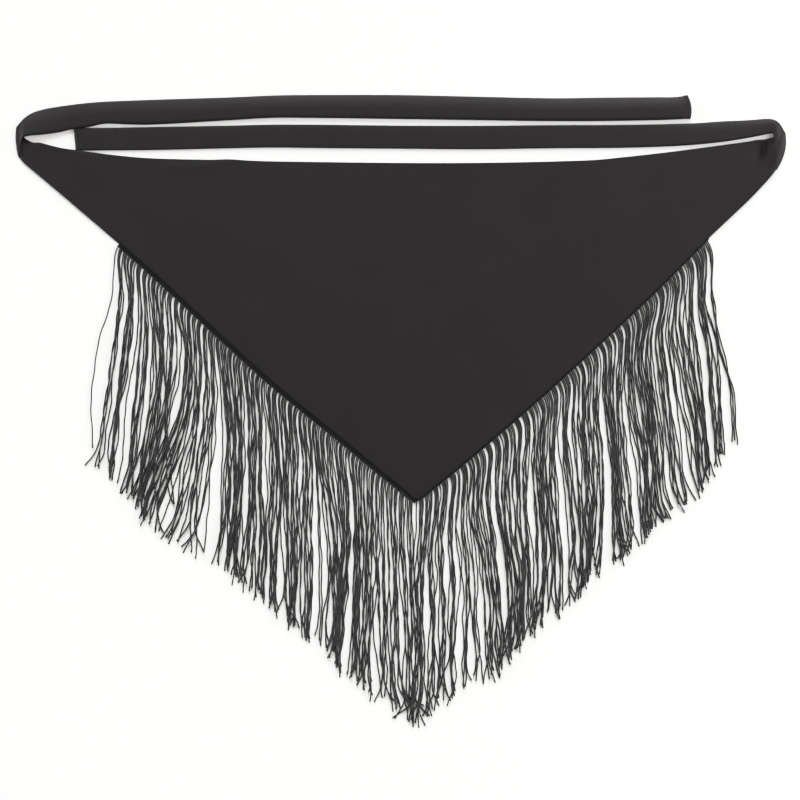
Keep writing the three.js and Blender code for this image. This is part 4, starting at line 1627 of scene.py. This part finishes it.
@dataclass
class Scarf:
    """The whole scarf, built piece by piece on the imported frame."""

    weave: bpy.types.NodeTree
    cord_maker: bpy.types.NodeTree
    stitch_maker: bpy.types.NodeTree
    panel_area: float = field(init=False, default=0.0)

    def __post_init__(self) -> None:
        """Makes the finishes."""
        panel = ClothFinish("crepe_black", (0.0036, 0.0033, 0.0035), (0.0060, 0.0055, 0.0058))
        tie = ClothFinish("crepe_black_ties", (0.0040, 0.0037, 0.0039), (0.0065, 0.0060, 0.0063))
        finer = {"specular": 0.12, "thread": 0.0011, "bump": 0.6}
        tape = ClothFinish("header_black", (0.003, 0.0028, 0.003), (0.006, 0.0056, 0.006), **finer)
        self.panel_finish = panel.build(self.weave)
        self.tie_finish = tie.build(self.weave)
        self.tape_finish = tape.build(self.weave)
        self.cord_finish = CordFinish("cord_black", (0.007, 0.0066, 0.0068), (0.016, 0.0152, 0.0156)).build()

    def dress(self, piece: bpy.types.Object, finish: bpy.types.Material) -> None:
        """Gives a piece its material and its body."""
        piece.data.materials.clear()
        piece.data.materials.append(finish)
        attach(piece, "root")
        LOG.info("%s: %d faces", piece.name, len(piece.data.polygons))

    def panel(self) -> bpy.types.Object:
        """Builds the triangle and keeps its area.

        Returns:
            The panel's object.
        """
        cloth = PanelCloth()
        piece = cloth.build()
        self.dress(piece, self.panel_finish)
        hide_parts("panel")
        self.panel_area = cloth.plan_area()
        return piece

    def tie(self, tie: TieCloth, node: str) -> None:
        """Builds a tie and the stitches of its hemmed end.

        Args:
            tie: The tie's sizes.
            node: The node that it stands for.
        """
        piece, line = tie.build()
        self.dress(piece, self.tie_finish)
        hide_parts(node)
        stitches = path_object(f"{tie.name}_hem_stitches", [line], {})
        grow(stitches, self.stitch_maker, HEM_STITCH | {"Material": self.tie_finish})
        self.dress(stitches, self.tie_finish)

    def fringe(self, fringe: Fringe, node: str) -> list[bpy.types.Object]:
        """Builds one edge's fringe.

        Args:
            fringe: The fringe's sizes.
            node: The node that it stands for.

        Returns:
            Its tape, its stitches and its cords.
        """
        tape = fringe.tape()
        self.dress(tape, self.tape_finish)
        stitches = fringe.binding()
        spread = {"Spread": fringe.tape_width * HEADER_SPREAD * MM}
        grow(stitches, self.stitch_maker, HEADER_STITCH | spread | {"Material": self.tape_finish})
        self.dress(stitches, self.tape_finish)
        cords = fringe.cords()
        sizes = {"Radius": fringe.cord_radius * MM, "Sides": CORD_SIDES, "Material": self.cord_finish}
        grow(cords, self.cord_maker, sizes)
        self.dress(cords, self.cord_finish)
        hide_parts(node)
        return [tape, stitches, cords]


def main() -> None:
    """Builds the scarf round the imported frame, in the order in which it is sewn."""
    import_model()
    Studio().build()
    scarf = Scarf(weave_group(), cord_tree(), stitch_tree())
    panel = scarf.panel()
    left_tie = {"folds": LEFT_CORNER_FOLDS, "ridge": -0.15, "flat_power": 1.9, "full_power": 1.9}
    left_tie |= {"fullness": 1.4, "pinch": 0.4, "far_bulge": 0.8, "hem_groove": 0.0}
    scarf.tie(TieCloth("tie_left_cloth", Side.LEFT, LEFT_ROOT, LEFT_RUN, **left_tie), "tie_left")
    right_tie = {"folds": RIGHT_CORNER_FOLDS, "ridge": 0.0, "flat_power": 6.0, "full_power": 2.0}
    right_tie |= {"end_corner": 0.5, "crease_seed": 8}
    scarf.tie(TieCloth("tie_right_cloth", Side.RIGHT, RIGHT_ROOT, RIGHT_RUN, **right_tie), "tie_right")
    left_trim = {"tape_width": 3.0, "tape_top": 0.95, "turn_reach": 3.8, "turn_fade": 5.0}
    right_trim = {"tape_width": 0.9, "tape_top": 1.0, "turn_reach": 8.0, "turn_fade": 8.5}
    right_trim |= {"bunch_sizes": (1, 6), "bunch_spread": (0.6, 0.92)}
    trim = scarf.fringe(Fringe(Side.LEFT, LEFT_LOCKS, **left_trim), "fringe_left")
    trim += scarf.fringe(Fringe(Side.RIGHT, RIGHT_LOCKS, **right_trim), "fringe_right")
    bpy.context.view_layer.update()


if __name__ == "__main__":
    logging.basicConfig(level=logging.INFO, format="%(message)s")
    main()
